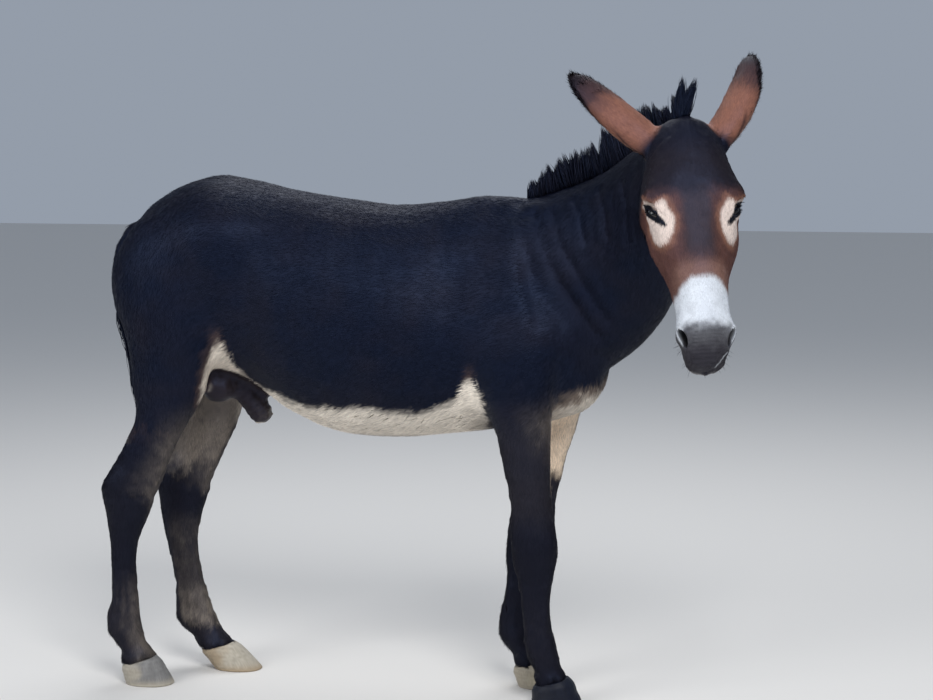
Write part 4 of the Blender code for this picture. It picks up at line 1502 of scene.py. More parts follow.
    def face_forms(self) -> None:
        """The bones and veins of the face, and the wings of the nose."""
        down, left, out = HEAD.read(self.points)
        head = BEYOND_THROAT.share(self.points)
        aside = np.abs(left)
        mirrored = np.stack([down, aside, out], axis=1)
        amount = np.zeros(len(self.points))
        for place, radii, swell in self.swells:
            amount += swell * bell(np.linalg.norm((mirrored - place) / radii, axis=1), 1.0)
        amount += 0.0014 * bell(off_line(mirrored, np.array(self.vein)), 0.0035)
        creases = np.sin(down * 2 * np.pi / 0.0065 + 1.2 * lumps(self.points, 0.02, 29))
        amount += 0.0004 * creases * ramp(0.478, 0.49, down) * ramp(0.036, 0.026, aside)
        amount += 0.0007 * lumps(self.points, 0.016, 27)
        self.push(amount * head)

    def lips(self) -> None:
        """The line of the mouth and the swell of the lips on both sides of it."""
        down, left, out = HEAD.read(self.points)
        away = off_line(np.stack([down, np.abs(left), out], axis=1), np.array(self.seam))
        near = BEYOND_THROAT.share(self.points) * ramp(0.4, 0.43, down)
        self.push(near * (-0.0045 * bell(away, 0.0028) + 0.0018 * bell(away - 0.008, 0.005)))
        lowered = 0.009 * near * ramp(-0.1, -0.117, out) * ramp(0.47, 0.52, down)
        over = np.maximum(down + lowered - 0.554 + 12.0 * left**2, 0.0)  # past the chin's rounded end
        over = over * near * ramp(-0.096, -0.106, out)
        self.points = self.points + HEAD.down * (lowered - over)[:, None]
        lip = near * ramp(0.5, 0.53, down) * ramp(-0.09, -0.102, out)
        self.points = smoothed(self.points, edge_ends(self.mesh), 12, 0.8 * lip)

    def nostril(self, nostril: NostrilPlace) -> None:
        """Sinks a nostril and raises its rim.

        Args:
            nostril: Where it is.
        """
        inside = nostril.inside(self.points)
        near = nostril.near(self.points)
        pocket = ramp(-0.001, 0.0045, inside) * near
        rim = bell(inside + 0.0035, 0.0035) * near
        self.points = self.points + nostril.facing * (0.0022 * rim)[:, None]
        inwards = -nostril.facing * 0.8 - HEAD.out * 0.25 - HEAD.down * 0.45
        self.points = self.points + inwards * (nostril.depth * pocket)[:, None]

    def eyelids(self, eye: EyePlace) -> None:
        """Draws the lids over the ball, with a fold above them, and opens the slit.

        Args:
            eye: Where the eye is.
        """
        along, up, out = eye.read(self.points)
        off = np.hypot(along, up)
        near = ramp(0.05, 0.044, off) * (out > -0.012)
        cover = eye.radius + 0.0016
        turn = 0.8 * cover
        ball = np.sqrt(cover**2 - np.minimum(off, turn) ** 2) - 1.35 * np.maximum(off - turn, 0.0)
        soft = 0.0035
        both = soft * np.logaddexp(out / soft, ball / soft)
        share = ramp(1.2 * eye.radius, 0.7 * eye.radius, off)
        new_out = out + (both + (ball - both) * share - out) * near
        depth = eye.opening(self.points)
        for place, width, side, height in self.lid_folds:
            own = near if side == 0 else near * (up * side > 0)
            new_out = new_out + height * (bell(depth + place, width) * own)
        opened = ramp(-0.0003, 0.0007, depth) * near
        new_out = new_out - 0.006 * opened
        self.points = self.points + eye.facing * (new_out - out)[:, None]


# ---- Eyes
@dataclass
class Eye:
    """One eyeball with its iris and long pupil."""

    place: EyePlace
    cornea: float = 0.0011
    iris: float = 0.0125
    pupil: tuple[float, float] = (0.009, 0.0045)
    white_brown: Colour = (0.03, 0.02, 0.016)
    iris_brown: Colour = (0.012, 0.007, 0.005)
    pupil_black: Colour = (0.002, 0.002, 0.002)

    def build(self, finish: Material) -> None:
        """Makes the ball, with the clear cornea standing out before the iris.

        Args:
            finish: The material.
        """
        deselect()
        bpy.ops.mesh.primitive_uv_sphere_add(
            segments=48, ring_count=32, radius=self.place.radius - self.cornea, location=self.place.centre
        )
        ball = bpy.context.active_object
        ball.name = f"eyeball_{self.place.side}"
        bpy.ops.object.transform_apply(location=True, rotation=False, scale=False)
        mesh = ball.data
        along, up, out = self.place.read(places(mesh))
        dome = ramp(self.iris * 1.25, 0.0, np.hypot(along, up)) * (out > 0)
        set_places(mesh, places(mesh) + self.place.facing * (self.cornea * dome)[:, None])
        colour_attribute(mesh, "eye_colour", self.colours(places(mesh)))
        mesh.shade_smooth()
        dress(ball, finish, Part.EYE, f"eye_{self.place.side}")

    def colours(self, points: Array) -> Array:
        """Dark brown iris, black level pupil, and a brown white of the eye at its edge.

        Args:
            points: The points.

        Returns:
            Each point's colour.
        """
        along, up, _ = self.place.read(points)
        iris = ramp(self.iris + 0.002, self.iris, np.hypot(along, up))
        pupil = ramp(1.1, 0.9, np.hypot(along / self.pupil[0], up / self.pupil[1]))
        white = np.tile(self.white_brown, (len(points), 1))
        return layered(white, (self.iris_brown, iris), (self.pupil_black, pupil))


# ---- The coat
@dataclass
class Unwrap:
    """An unwrap of the skin's own shape, read at any place on it."""

    skin: Object
    coarseness: float = 0.05
    bend: float = 66.0  # how sharp an edge may be within one patch, in degrees
    margin: float = 0.004

    def __post_init__(self) -> None:
        """Thins a copy of the skin, unwraps it and keeps what is needed to read it."""
        copy = new_object("unwrap", self.skin.data.copy())
        apply(copy, "DECIMATE", ratio=self.coarseness)
        make_active(copy)
        bpy.ops.object.mode_set(mode="EDIT")
        bpy.ops.mesh.select_all(action="SELECT")
        bpy.ops.uv.smart_project(angle_limit=math.radians(self.bend), island_margin=self.margin)
        bpy.ops.object.mode_set(mode="OBJECT")
        mesh = copy.data
        corners = triangles(mesh)
        loops = read_all(mesh.loop_triangles, "loops", 3)
        self.corners = places(mesh)[corners]
        self.uvs = read_all(mesh.uv_layers.active.data, "uv", 2, np.float32)[loops]
        self.tree = BVHTree.FromPolygons(places(mesh).tolist(), corners.tolist())
        bpy.data.objects.remove(copy)

    def at(self, points: Array) -> Array:
        """The place of each point in the unwrap.

        Args:
            points: The points.

        Returns:
            Two shares, across and up, for each point.
        """
        found = [self.tree.find_nearest(point) for point in points.tolist()]
        face = np.array([hit[2] for hit in found])
        spot = np.array([tuple(hit[0]) for hit in found])
        first, second, third = (self.corners[face, index] for index in range(3))
        whole = np.cross(second - first, third - first)
        size = np.maximum(np.sum(whole * whole, axis=1), 1e-18)
        share_third = np.sum(np.cross(second - first, spot - first) * whole, axis=1) / size
        share_second = np.sum(np.cross(spot - first, third - first) * whole, axis=1) / size
        shares = np.stack([1.0 - share_second - share_third, share_second, share_third], axis=1)
        return np.sum(self.uvs[face] * shares[:, :, None], axis=1)


@dataclass
class Roots:
    """Where tufts grow: their places, the skin's normals there and the way that the hair lies."""

    points: Array
    facing: Array
    way: Array

    def __len__(self) -> int:
        """How many there are."""
        return len(self.points)


@dataclass
class Hide:
    """The finished skin as the ground that the coat grows on."""

    skin: Object

    def __post_init__(self) -> None:
        """Reads the skin's triangles and how bare they are."""
        mesh = self.skin.data
        self.corners = triangles(mesh)
        self.points = places(mesh)
        self.facing = normals(mesh)
        first, second, third = (self.points[self.corners[:, index]] for index in range(3))
        self.areas = np.linalg.norm(np.cross(second - first, third - first), axis=1) / 2
        self.middles = (first + second + third) / 3
        self.slopes = unit(self.facing[self.corners].sum(axis=1))
        self.tree = BVHTree.FromPolygons(self.points.tolist(), self.corners.tolist())
        self.unwrap = Unwrap(self.skin)
        self.bare = self.bare_share(self.middles)

    @staticmethod
    def bare_share(points: Array) -> Array:
        """How bare the skin is: 1 on the lids, in the nostrils and on the sheath.

        Args:
            points: The points.

        Returns:
            The share of each point.
        """
        x, y, z = points.T
        bare = (np.abs(y - MIDDLE_Y) < 0.068) & (z < 0.785) & (z > 0.635) & (x > -0.58) & (x < -0.385)
        for eye in EYES.values():
            bare = np.maximum(bare, ramp(-0.0028, -0.0014, eye.opening(points)) * eye.near(points))
        for nostril in NOSTRILS.values():
            hollow = ramp(-0.004, -0.001, nostril.inside(points))
            bare = np.maximum(bare, hollow * nostril.near(points))
        return bare

    def nearest(self, points: Array) -> tuple[Array, Array]:
        """The nearest places on the skin, and its normals there."""
        found = [self.tree.find_nearest(point) for point in points.tolist()]
        return np.array([tuple(hit[0]) for hit in found]), np.array([tuple(hit[1]) for hit in found])

    def grow(self, density: Array, count: int, random: Generator) -> Roots:
        """Scatters roots.

        Args:
            density: How thickly each triangle is grown, as a share.
            count: How many roots there are.
            random: The numbers to draw from.

        Returns:
            The roots.
        """
        weight = self.areas * density * (1.0 - self.bare)
        chosen = random.choice(len(weight), size=count, p=weight / weight.sum())
        first, second = random.random((2, count))
        over = first + second > 1.0
        first[over], second[over] = 1.0 - first[over], 1.0 - second[over]
        shares = np.stack([1.0 - first - second, first, second], axis=1)[:, :, None]
        corners = self.corners[chosen]
        points = np.sum(self.points[corners] * shares, axis=1)
        facing = unit(np.sum(self.facing[corners] * shares, axis=1))
        return Roots(points, facing, lie(points, facing))


MAP_PATCH, MAP_JOG = 0.0015, 0.0005  # half the size of a hair's patch in the map, and how far it strays


def hair_mesh(
    name: str, hide: Hide, roots: Roots, rings: list[Array], faces: Array, tints: Array, pattern: Array,
    random: Generator
) -> Object:
    """Makes one piece of many hairs that are built alike, with its colours and its OFBake map.

    Args:
        name: The piece's name.
        hide: The ground it grows on.
        roots: Where the hairs grow.
        rings: For each vertex of a hair, its place in every hair.
        faces: The triangles of one hair.
        tints: The colour of each vertex of each hair.
        pattern: Where a hair's vertices lie in its patch of the map, from -1 to 1.
        random: The numbers that jog the patches.

    Returns:
        The piece.
    """
    points = np.stack(rings, axis=1)
    corners = (faces[None] + len(rings) * np.arange(len(roots))[:, None, None]).reshape(-1, 3)
    piece = mesh_object(name, points.reshape(-1, 3), corners)
    colour_attribute(piece.data, "markings", tints.reshape(-1, 3))
    spots = hide.unwrap.at(roots.points)
    jog = random.uniform(-MAP_JOG, MAP_JOG, spots.shape)
    flat = np.clip(((spots + jog)[:, None] + pattern[None] * MAP_PATCH).reshape(-1, 2), 0.0, 1.0)
    layer = piece.data.uv_layers.new(name="OFBake")
    loops = read_all(piece.data.loops, "vertex_index", 1)[:, 0]
    layer.data.foreach_set("uv", flat[loops].astype(np.float32).ravel())
    piece.data.shade_smooth()
    return piece


@dataclass(frozen=True)
class Tuft:
    """The size of one tuft, a thin closed wedge, and how it leaves the skin."""

    length: float
    width: float
    thickness: float = 0.0006
    lift: float = 0.14  # how much it rises for its length
    stray: float = 0.16  # how far its way wanders
    sink: float = 0.0004
    wedge: tuple[tuple[int, int, int], ...] = ((0, 3, 1), (0, 1, 2), (0, 2, 3), (1, 3, 2))
    pattern: tuple[tuple[int, int], ...] = ((-1, -1), (1, -1), (0, 0), (0, 1))
    fade: tuple[float, ...] = (0.85, 0.85, 1.0, 1.15)  # from the root to the tip

    def mesh(self, name: str, hide: Hide, roots: Roots, scale: Array, random: Generator) -> Object:
        """Makes one piece of many short tufts that lie along the body.

        Args:
            name: The piece's name.
            hide: The ground it grows on.
            roots: Where the tufts grow.
            scale: Each tuft's length against the tuft's own.
            random: The numbers to draw from.

        Returns:
            The piece.
        """
        count, facing = len(roots), roots.facing
        aside = np.cross(roots.way, facing)
        way = unit(roots.way + aside * random.normal(0.0, self.stray, count)[:, None])
        aside = np.cross(way, facing)
        length = (self.length * scale * random.uniform(0.75, 1.2, count))[:, None]
        width = (self.width * np.sqrt(scale) * random.uniform(0.7, 1.25, count))[:, None]
        rise = (self.lift * random.uniform(0.5, 1.4, count))[:, None]
        base = roots.points - facing * self.sink
        rings = [
            base - aside * width / 2,
            base + aside * width / 2,
            base + facing * (self.thickness + self.sink) + way * length * 0.2,
            base + way * length + facing * (length * rise + self.sink),
        ]
        colour = MARKINGS.at(roots.points, facing) * random.uniform(0.72, 1.3, count)[:, None]
        tints = colour[:, None] * np.array(self.fade)[None, :, None]
        wedge, pattern = np.array(self.wedge), np.array(self.pattern)
        piece = hair_mesh(name, hide, roots, rings, wedge, tints, pattern, random)
        soft = facing[:, None] * 0.9 + aside[:, None] * np.array((-0.5, 0.5, 0.0, 0.0))[None, :, None]
        piece.data.normals_split_custom_set_from_vertices(unit(soft).reshape(-1, 3).tolist())
        return piece


@dataclass(frozen=True)
class Lock:
    """The thickness and bend of a longer lock, a closed ribbon that tapers and bends to its end."""

    width: float
    flatness: float = 0.45
    rings: int = 5
    bow: float = 0.035  # how far its middle strays for its length

    def faces(self) -> Array:
        """The triangles of one lock.

        Returns:
            The three vertices of each triangle.
        """
        faces = [(0, 1, 2), (0, 2, 3)]
        for step, side in itertools.product(range(self.rings - 1), range(4)):
            low, low_next = 4 * step + side, 4 * step + (side + 1) % 4
            faces += [(low, low + 4, low_next), (low_next, low + 4, low_next + 4)]
        top = 4 * (self.rings - 1)
        faces += [(top + side, 4 * self.rings, top + (side + 1) % 4) for side in range(4)]
        return np.array(faces)

    def mesh(
        self, name: str, hide: Hide, roots: Roots, ends: Array, colours: Array, random: Generator
    ) -> Object:
        """Makes one piece of long locks.

        Args:
            name: The piece's name.
            hide: The ground it grows on.
            roots: Where the locks grow. Their way is how they leave the skin.
            ends: Where each lock's tip is.
            colours: The colour of each lock, or one for all.
            random: The numbers to draw from.

        Returns:
            The piece.
        """
        count = len(roots)
        straight = ends - roots.points
        length = np.linalg.norm(straight, axis=1)[:, None]
        aside = unit(np.cross(unit(straight), roots.facing + random.normal(0.0, 0.35, (count, 3))))
        above = np.cross(aside, unit(straight))
        width = (self.width * random.uniform(0.6, 1.3, count))[:, None]
        bow = random.normal(0.0, self.bow, (count, 3)) * length
        rings, turns = [], math.pi / self.rings
        for step in range(self.rings):
            share, swell = step / self.rings, math.sin(turns * step)
            start = roots.points + roots.way * length * share
            middle = start + (roots.points + straight * share - start) * share + bow * swell
            half = width * (0.5 + 0.35 * swell - 0.45 * share)
            thin = half * self.flatness
            rings += [middle - aside * half, middle - above * thin]
            rings += [middle + aside * half, middle + above * thin]
        rings.append(ends)
        fade = np.repeat(np.linspace(0.75, 1.15, self.rings + 1), [4] * self.rings + [1])
        tints = (colours * random.uniform(0.65, 1.35, count)[:, None])[:, None] * fade[None, :, None]
        steps = np.linspace(-1.0, 1.0, self.rings + 1)
        pattern = [(x, step) for step in steps[:-1] for x in (-1.0, -0.3, 1.0, 0.3)] + [(0.0, 1.0)]
        return hair_mesh(name, hide, roots, rings, self.faces(), tints, np.array(pattern), random)


@dataclass
class Coat:
    """What every set of tufts shares: the hide, and the seed that each of its pieces starts from."""

    hide: Hide
    seed: int

    def grow(self, name: str, density: Array, count: int, tuft: Tuft, finish: Material) -> None:
        """Grows one piece.

        Args:
            name: Its name.
            density: How thickly each of the hide's triangles is grown.
            count: How many tufts it has.
            tuft: Their size.
            finish: Its material.
        """
        random = np.random.default_rng(self.seed)
        roots = self.hide.grow(density, count, random)
        dress(tuft.mesh(name, self.hide, roots, self.scale(roots), random), finish, Part.COAT)

    def scale(self, roots: Roots) -> Array:
        """How long the hair is at each root against the tuft's own length."""
        return np.ones(len(roots))


@dataclass
class ShortCoat(Coat):
    """The short flat coat of the body, in one piece for each region."""

    seed: int = 7

    def build(self, finish: Material) -> None:
        """Grows every region's tufts.

        Args:
            finish: The material.
        """
        middles = self.hide.middles
        head = BEYOND_THROAT.share(middles)
        ears = np.maximum(*ear_shares(middles).values())
        legs = legs_share(middles) * (1.0 - head)
        neck = BEYOND_SHOULDER.share(middles) * (1.0 - head) * (1.0 - legs)
        trunk = (1.0 - BEYOND_SHOULDER.share(middles)) * (1.0 - legs)
        left = ramp(MIDDLE_Y - 0.001, MIDDLE_Y + 0.001, middles[:, 1])
        fore = ramp(-0.02, 0.02, middles[:, 0])
        body = Tuft(0.016, 0.0024)
        self.grow("coat_trunk_right", trunk * (1.0 - left), 42000, body, finish)
        self.grow("coat_trunk_left", trunk * left, 34000, body, finish)
        self.grow("coat_neck", neck, 40000, Tuft(0.0165, 0.0024), finish)
        self.grow("coat_forelegs", legs * fore, 38000, Tuft(0.0115, 0.0021, lift=0.1), finish)
        self.grow("coat_hindlegs", legs * (1.0 - fore), 42000, Tuft(0.0125, 0.0023, lift=0.1), finish)
        self.grow("coat_head", head * (1.0 - ears), 48000, Tuft(0.008, 0.0016, 0.0004, lift=0.09), finish)
        self.grow("coat_ears", ears, 24000, Tuft(0.009, 0.0016, 0.0004, lift=0.1), finish)

    def scale(self, roots: Roots) -> Array:
        """How long the hair is at each root against the region's own: least on muzzle and feet.

        Args:
            roots: The roots.

        Returns:
            The share for each root.
        """
        points = roots.points
        down = HEAD.read(points)[0]
        bare = BEYOND_THROAT.share(points) * ramp(0.3, 0.45, down)
        for eye in EYES.values():
            bare = np.maximum(bare, ramp(0.045, 0.025, off_place(points, eye.centre)))
        feet = ramp(0.2, 0.1, points[:, 2])
        return (1.0 - 0.45 * bare) * (1.0 - 0.15 * feet)


@dataclass
class Fringes(Coat):
    """Longer tufts where the coat breaks the form: belly, jaw, fetlocks, hoof tops and the ears' edges."""

    seed: int = 17

    def build(self, finish: Material) -> None:
        """Grows them all.

        Args:
            finish: The material.
        """
        middles, slopes = self.hide.middles, self.hide.slopes
        x, y, z = middles.T
        belly = ramp(0.72, 0.68, z) * (x > -0.46) * (x < 0.19) * (np.abs(y - MIDDLE_Y) < 0.17)
        self.grow("fringe_belly", belly, 7000, Tuft(0.02, 0.002, lift=0.15, stray=0.28), finish)
        down, _, out = HEAD.read(middles)
        jaw = BEYOND_THROAT.share(middles) * ramp(-0.13, -0.17, out) * (down < 0.36)
        self.grow("fringe_jaw", jaw, 4500, Tuft(0.015, 0.0014, lift=0.3, stray=0.3), finish)
        fetlock = bell(z - 0.115, 0.022) * ramp(-0.3, -0.8, slopes[:, 0])
        self.grow("fringe_legs", fetlock, 1500, Tuft(0.013, 0.0013, lift=0.26, stray=0.5), finish)
        hoof_tops = np.zeros(len(middles))
        for hoof in HOOVES:
            low, high = box_corners(hoof.node)
            near = np.all((middles > low - 0.02) & (middles < high + 0.04), axis=1)
            over = height_over(middles, hoof_top(hoof.node))
            hoof_tops = np.maximum(hoof_tops, near * bell(over - 0.008, 0.006))
        hoof_tops = hoof_tops * ramp(-0.55, -0.25, slopes[:, 2])
        self.grow("fringe_coronets", hoof_tops, 7000, Tuft(0.0135, 0.0011, lift=0.1, stray=0.22), finish)
        edges = np.zeros(len(middles))
        for side, share in ear_shares(middles).items():
            edge = ramp(0.86, 0.96, EARS[side].read(middles)[1])
            inside = ramp(0.1, 0.5, slopes @ EARS[side].opening)
            edges = np.maximum(edges, share * np.maximum(edge, 0.25 * inside))
        self.grow("fringe_ears", edges, 7000, Tuft(0.014, 0.0013, lift=0.32, stray=0.35), finish)


@dataclass
class LongHair:
    """What every set of locks shares: the hide, the number of locks, and the seed."""

    hide: Hide
    locks: int
    seed: int
    sink: float = 0.004  # how far the roots lie under the skin


@dataclass
class Mane(LongHair):
    """The short upright mane: clumped locks that stand along the crest, as high as the frame's own."""

    locks: int = 4600
    seed: int = 27
    stations: int = 16
    clumps: int = 46

    def outline(self) -> tuple[Array, Array, Array, Array]:
        """Reads the frame's mane.

        Returns:
            Places along it, its foot line there, its top's height there, and the way along it.
        """
        points = places(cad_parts["mane"].data)
        low_end, high_end = points[np.argmin(points[:, 0])], points[np.argmax(points[:, 0])]
        along = (high_end - low_end) * LEVEL
        along = along / np.linalg.norm(along)
        place = (points - low_end) @ along
        edges = np.linspace(0.0, place.max(), self.stations + 1)
        feet, tops = [], []
        for low, high in zip(edges[:-1], edges[1:]):
            own = points[(place >= low - 0.006) & (place <= high + 0.006)]
            feet.append(own[own[:, 2] < np.quantile(own[:, 2], 0.35)].mean(axis=0))
            tops.append(own[:, 2].max())
        return (edges[:-1] + edges[1:]) / 2, np.array(feet), np.array(tops), along

    def build(self, finish: Material) -> None:
        """Grows the locks.

        Args:
            finish: The material.
        """
        random = np.random.default_rng(self.seed)
        spots, feet, tops, along = self.outline()
        length = spots[-1] - spots[0]
        share = random.random(self.locks) ** 0.9
        at = spots[0] + length * share
        foot = np.stack([np.interp(at, spots, feet[:, axis]) for axis in range(3)], axis=1)
        side = np.cross(along, WORLD_UP)
        spread = random.normal(0.0, 0.007, self.locks).clip(-0.014, 0.014)
        start, facing = self.hide.nearest(foot + side * spread[:, None])
        tilt = np.interp(at, spots, np.gradient(feet[:, 2], spots))
        up = unit(WORLD_UP - along * tilt[:, None] * 0.75)
        clump = np.floor(share * self.clumps).astype(int)
        lean = random.normal(0.0, 1.0, (self.clumps + 1, 3))[clump]
        height = (np.interp(at, spots, tops) - foot[:, 2]) * 0.86 * random.uniform(0.62, 1.0, self.locks)
        height = height * (0.92 + 0.1 * lean[:, 2].clip(-1.5, 0.8))
        draw = ((clump + 0.5) / self.clumps * length + spots[0] - at) * 0.75  # towards the clump's middle
        ends = start + up * height[:, None] + along * (draw + 0.006 * lean[:, 0])[:, None]
        ends = ends + side * (0.005 * lean[:, 1] - 0.5 * spread)[:, None]
        way = unit(up + side * (spread * 14.0)[:, None])
        black = np.tile(MARKINGS.black, (self.locks, 1)) * 0.9
        colours = mixed(black, MARKINGS.brown_black, random.random(self.locks) * 0.5)
        roots = Roots(start - facing * self.sink, facing, way)
        hair = Lock(0.0022).mesh("mane_hair", self.hide, roots, ends, colours, random)
        dress(hair, finish, Part.HAIR, "mane")


@dataclass
class Forelock(LongHair):
    """The tuft between the ears, which ends in two points."""

    locks: int = 1350
    seed: int = 37
    tips: tuple[Triple, ...] = (
        (-0.012, 0.0, -0.013), (0.019, 0.0, -0.017), (0.003, 0.0, -0.036), (-0.024, 0.01, -0.044),
        (-0.037, 0.02, -0.054),
    )
    foot_shift: Triple = (0.006, 0.0, 0.0)
    foot_radii: tuple[float, float] = (0.019, 0.022)

    def build(self, finish: Material) -> None:
        """Grows the locks.

        Args:
            finish: The material.
        """
        random = np.random.default_rng(self.seed)
        points = places(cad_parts["forelock"].data)
        tip = points[np.argmax(points[:, 2])]
        low = points[points[:, 2] < points[:, 2].min() + 0.03].mean(axis=0) + np.array(self.foot_shift)
        angle = random.uniform(0.0, 2 * math.pi, self.locks)
        reach = np.sqrt(random.random(self.locks))
        across = unit(np.cross(tip - low, HEAD.out)[None])[0]
        front = np.cross(across, unit((tip - low)[None])[0])
        wide, deep = self.foot_radii
        start = low + across * (wide * reach * np.cos(angle))[:, None]
        start, facing = self.hide.nearest(start + front * (deep * reach * np.sin(angle))[:, None])
        tips = (tip + np.array(self.tips))[random.integers(0, len(self.tips), self.locks)]
        short = random.uniform(0.35, 1.0, self.locks) ** 0.6
        ends = start + (tips - start) * short[:, None] + random.normal(0.0, 0.0028, (self.locks, 3))
        way = unit(unit(ends - start) + facing * 0.25)
        roots, black = Roots(start - facing * self.sink, facing, way), np.array(MARKINGS.black) * 0.9
        hair = Lock(0.0017).mesh("forelock_hair", self.hide, roots, ends, black, random)
        dress(hair, finish, Part.HAIR, "forelock")


@dataclass
class Tail(LongHair):
    """The hair of the tail: short on the dock, and a long switch below."""

    locks: int = 3000
    seed: int = 47
    rows: int = 12
    row_height: float = 0.045

    def build(self, finish: Material) -> None:
        """Grows the locks round the dock, hanging down to the frame's own tip.

        Args:
            finish: The material.
        """
        random = np.random.default_rng(self.seed)
        points = places(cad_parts["tail"].data)
        low, high = points[:, 2].min(), points[:, 2].max()
        heights = np.linspace(low, high, self.rows)
        rows = [points[np.abs(points[:, 2] - height) < self.row_height] for height in heights]
        line = np.array([row.mean(axis=0) for row in rows])
        line[:, 2] = heights
        radii = [np.ptp(row[:, 1]) / 2 for row in rows]
        start_height = low + (high - low) * (0.22 + 0.62 * random.random(self.locks) ** 1.4)
        angle = random.uniform(0.0, 2 * math.pi, self.locks)
        out = np.stack([np.cos(angle), np.sin(angle), np.zeros(self.locks)], axis=1)
        start, _ = self.hide.nearest(self.on_line(line, start_height) + out * 0.012)
        start[:, 2] = start_height
        drop = np.interp(start_height, (low, low + 0.16, high), (0.1, 0.15, 0.06))
        drop = drop * random.uniform(0.6, 1.1, self.locks)
        end_height = np.maximum(start_height - drop, low + 0.004 + 0.05 * random.random(self.locks) ** 2)
        radius = np.interp(end_height, heights, radii) * random.uniform(0.1, 0.7, self.locks)
        taper = ramp(low - 0.01, low + 0.06, end_height)
        ends = self.on_line(line, end_height) + out * (radius * (0.35 + 0.65 * taper))[:, None]
        ends[:, 0] += 0.008 * ramp(high - 0.1, high - 0.25, end_height)
        ends[:, 2] = end_height
        roots, black = Roots(start, out, unit(out * 0.08 - WORLD_UP)), np.array(MARKINGS.black) * 0.85
        hair = Lock(0.0027, bow=0.02).mesh("tail_hair", self.hide, roots, ends, black, random)
        dress(hair, finish, Part.HAIR, "tail")

    @staticmethod
    def on_line(line: Array, height: Array) -> Array:
        """The tail's middle at each height."""
        return np.stack([np.interp(height, line[:, 2], line[:, axis]) for axis in range(3)], axis=1)


@dataclass
class FaceHairs(LongHair):
    """Single stiff hairs: lashes on the lids, and whiskers round the lips and the chin."""

    locks: int = 64
    seed: int = 57
    sink: float = 0.0006
    lashes: int = 70
    lash_rows: tuple[tuple[float, float, float, int], ...] = (
        (1.0, 0.0085, -0.55, 1), (-1.0, 0.004, -0.35, 3),
    )  # the upper and the lower row: its side, length, droop and thinness

    def build(self, finish: Material) -> None:
        """Grows them."""
        random = np.random.default_rng(self.seed)
        self.grow_lashes(finish, random)
        self.grow_whiskers(finish, random)

    def grow_lashes(self, finish: Material, random: Generator) -> None:
        """A drooping row on each upper lid and a thin one on each lower lid.

        Args:
            finish: The material.
            random: The numbers to draw from.
        """
        rows = []
        for eye, (rise, reach, fall, thinness) in itertools.product(EYES.values(), self.lash_rows):
            count = self.lashes // thinness
            share = np.linspace(-0.92, 0.8, count) + random.normal(0.0, 0.02, count)
            arch = np.sqrt(np.clip(1.0 - share**2, 0.0, 1.0))
            lid = (eye.top if rise > 0 else eye.bottom) * arch + 0.0012
            edge = 0.002 * (1.0 - share**2) + rise * lid
            place = eye.centre + eye.along * (share * eye.half_length)[:, None] + eye.up * edge[:, None]
            start, _ = self.hide.nearest(place + eye.facing * (eye.radius + 0.003))
            way = unit(eye.facing + eye.up * (0.15 * rise) + eye.along * (0.45 * share)[:, None])
            length = reach * random.uniform(0.7, 1.1, count)
            rows.append((start, start + (way + eye.up * fall) * length[:, None], way))
        start, ends, way = (np.concatenate(parts) for parts in zip(*rows))
        roots, black = Roots(start - way * self.sink, way, way), np.array(MARKINGS.dark_skin_and_shade) * 0.6
        hair = Lock(0.00075, 0.6, 3).mesh("lashes", self.hide, roots, ends, black, random)
        dress(hair, finish, Part.HAIR)

    def grow_whiskers(self, finish: Material, random: Generator) -> None:
        """Long thin hairs on the muzzle.

        Args:
            finish: The material.
            random: The numbers to draw from.
        """
        count = self.locks
        down = random.uniform(0.475, 0.552, count)
        left = random.uniform(-0.06, 0.06, count)
        low, high = random.uniform(-0.13, -0.05, count), random.uniform(-0.105, -0.065, count)
        out = np.where(down > 0.515, low, high)
        place = HEAD.poll + HEAD.down * down[:, None] + HEAD.left * left[:, None] + HEAD.out * out[:, None]
        start, facing = self.hide.nearest(place)
        way = unit(facing + HEAD.down * 0.35 + random.normal(0.0, 0.18, (count, 3)))
        length = random.uniform(0.007, 0.018, count)
        ends = start + way * length[:, None] + HEAD.down * (0.15 * length)[:, None]
        colours = mixed(np.tile(MARKINGS.nose_low, (count, 1)), MARKINGS.nose, random.random(count))
        roots = Roots(start - facing * self.sink, facing, way)
        hair = Lock(0.0004, 0.8, 3).mesh("whiskers", self.hide, roots, ends, colours, random)
        dress(hair, finish, Part.HAIR)


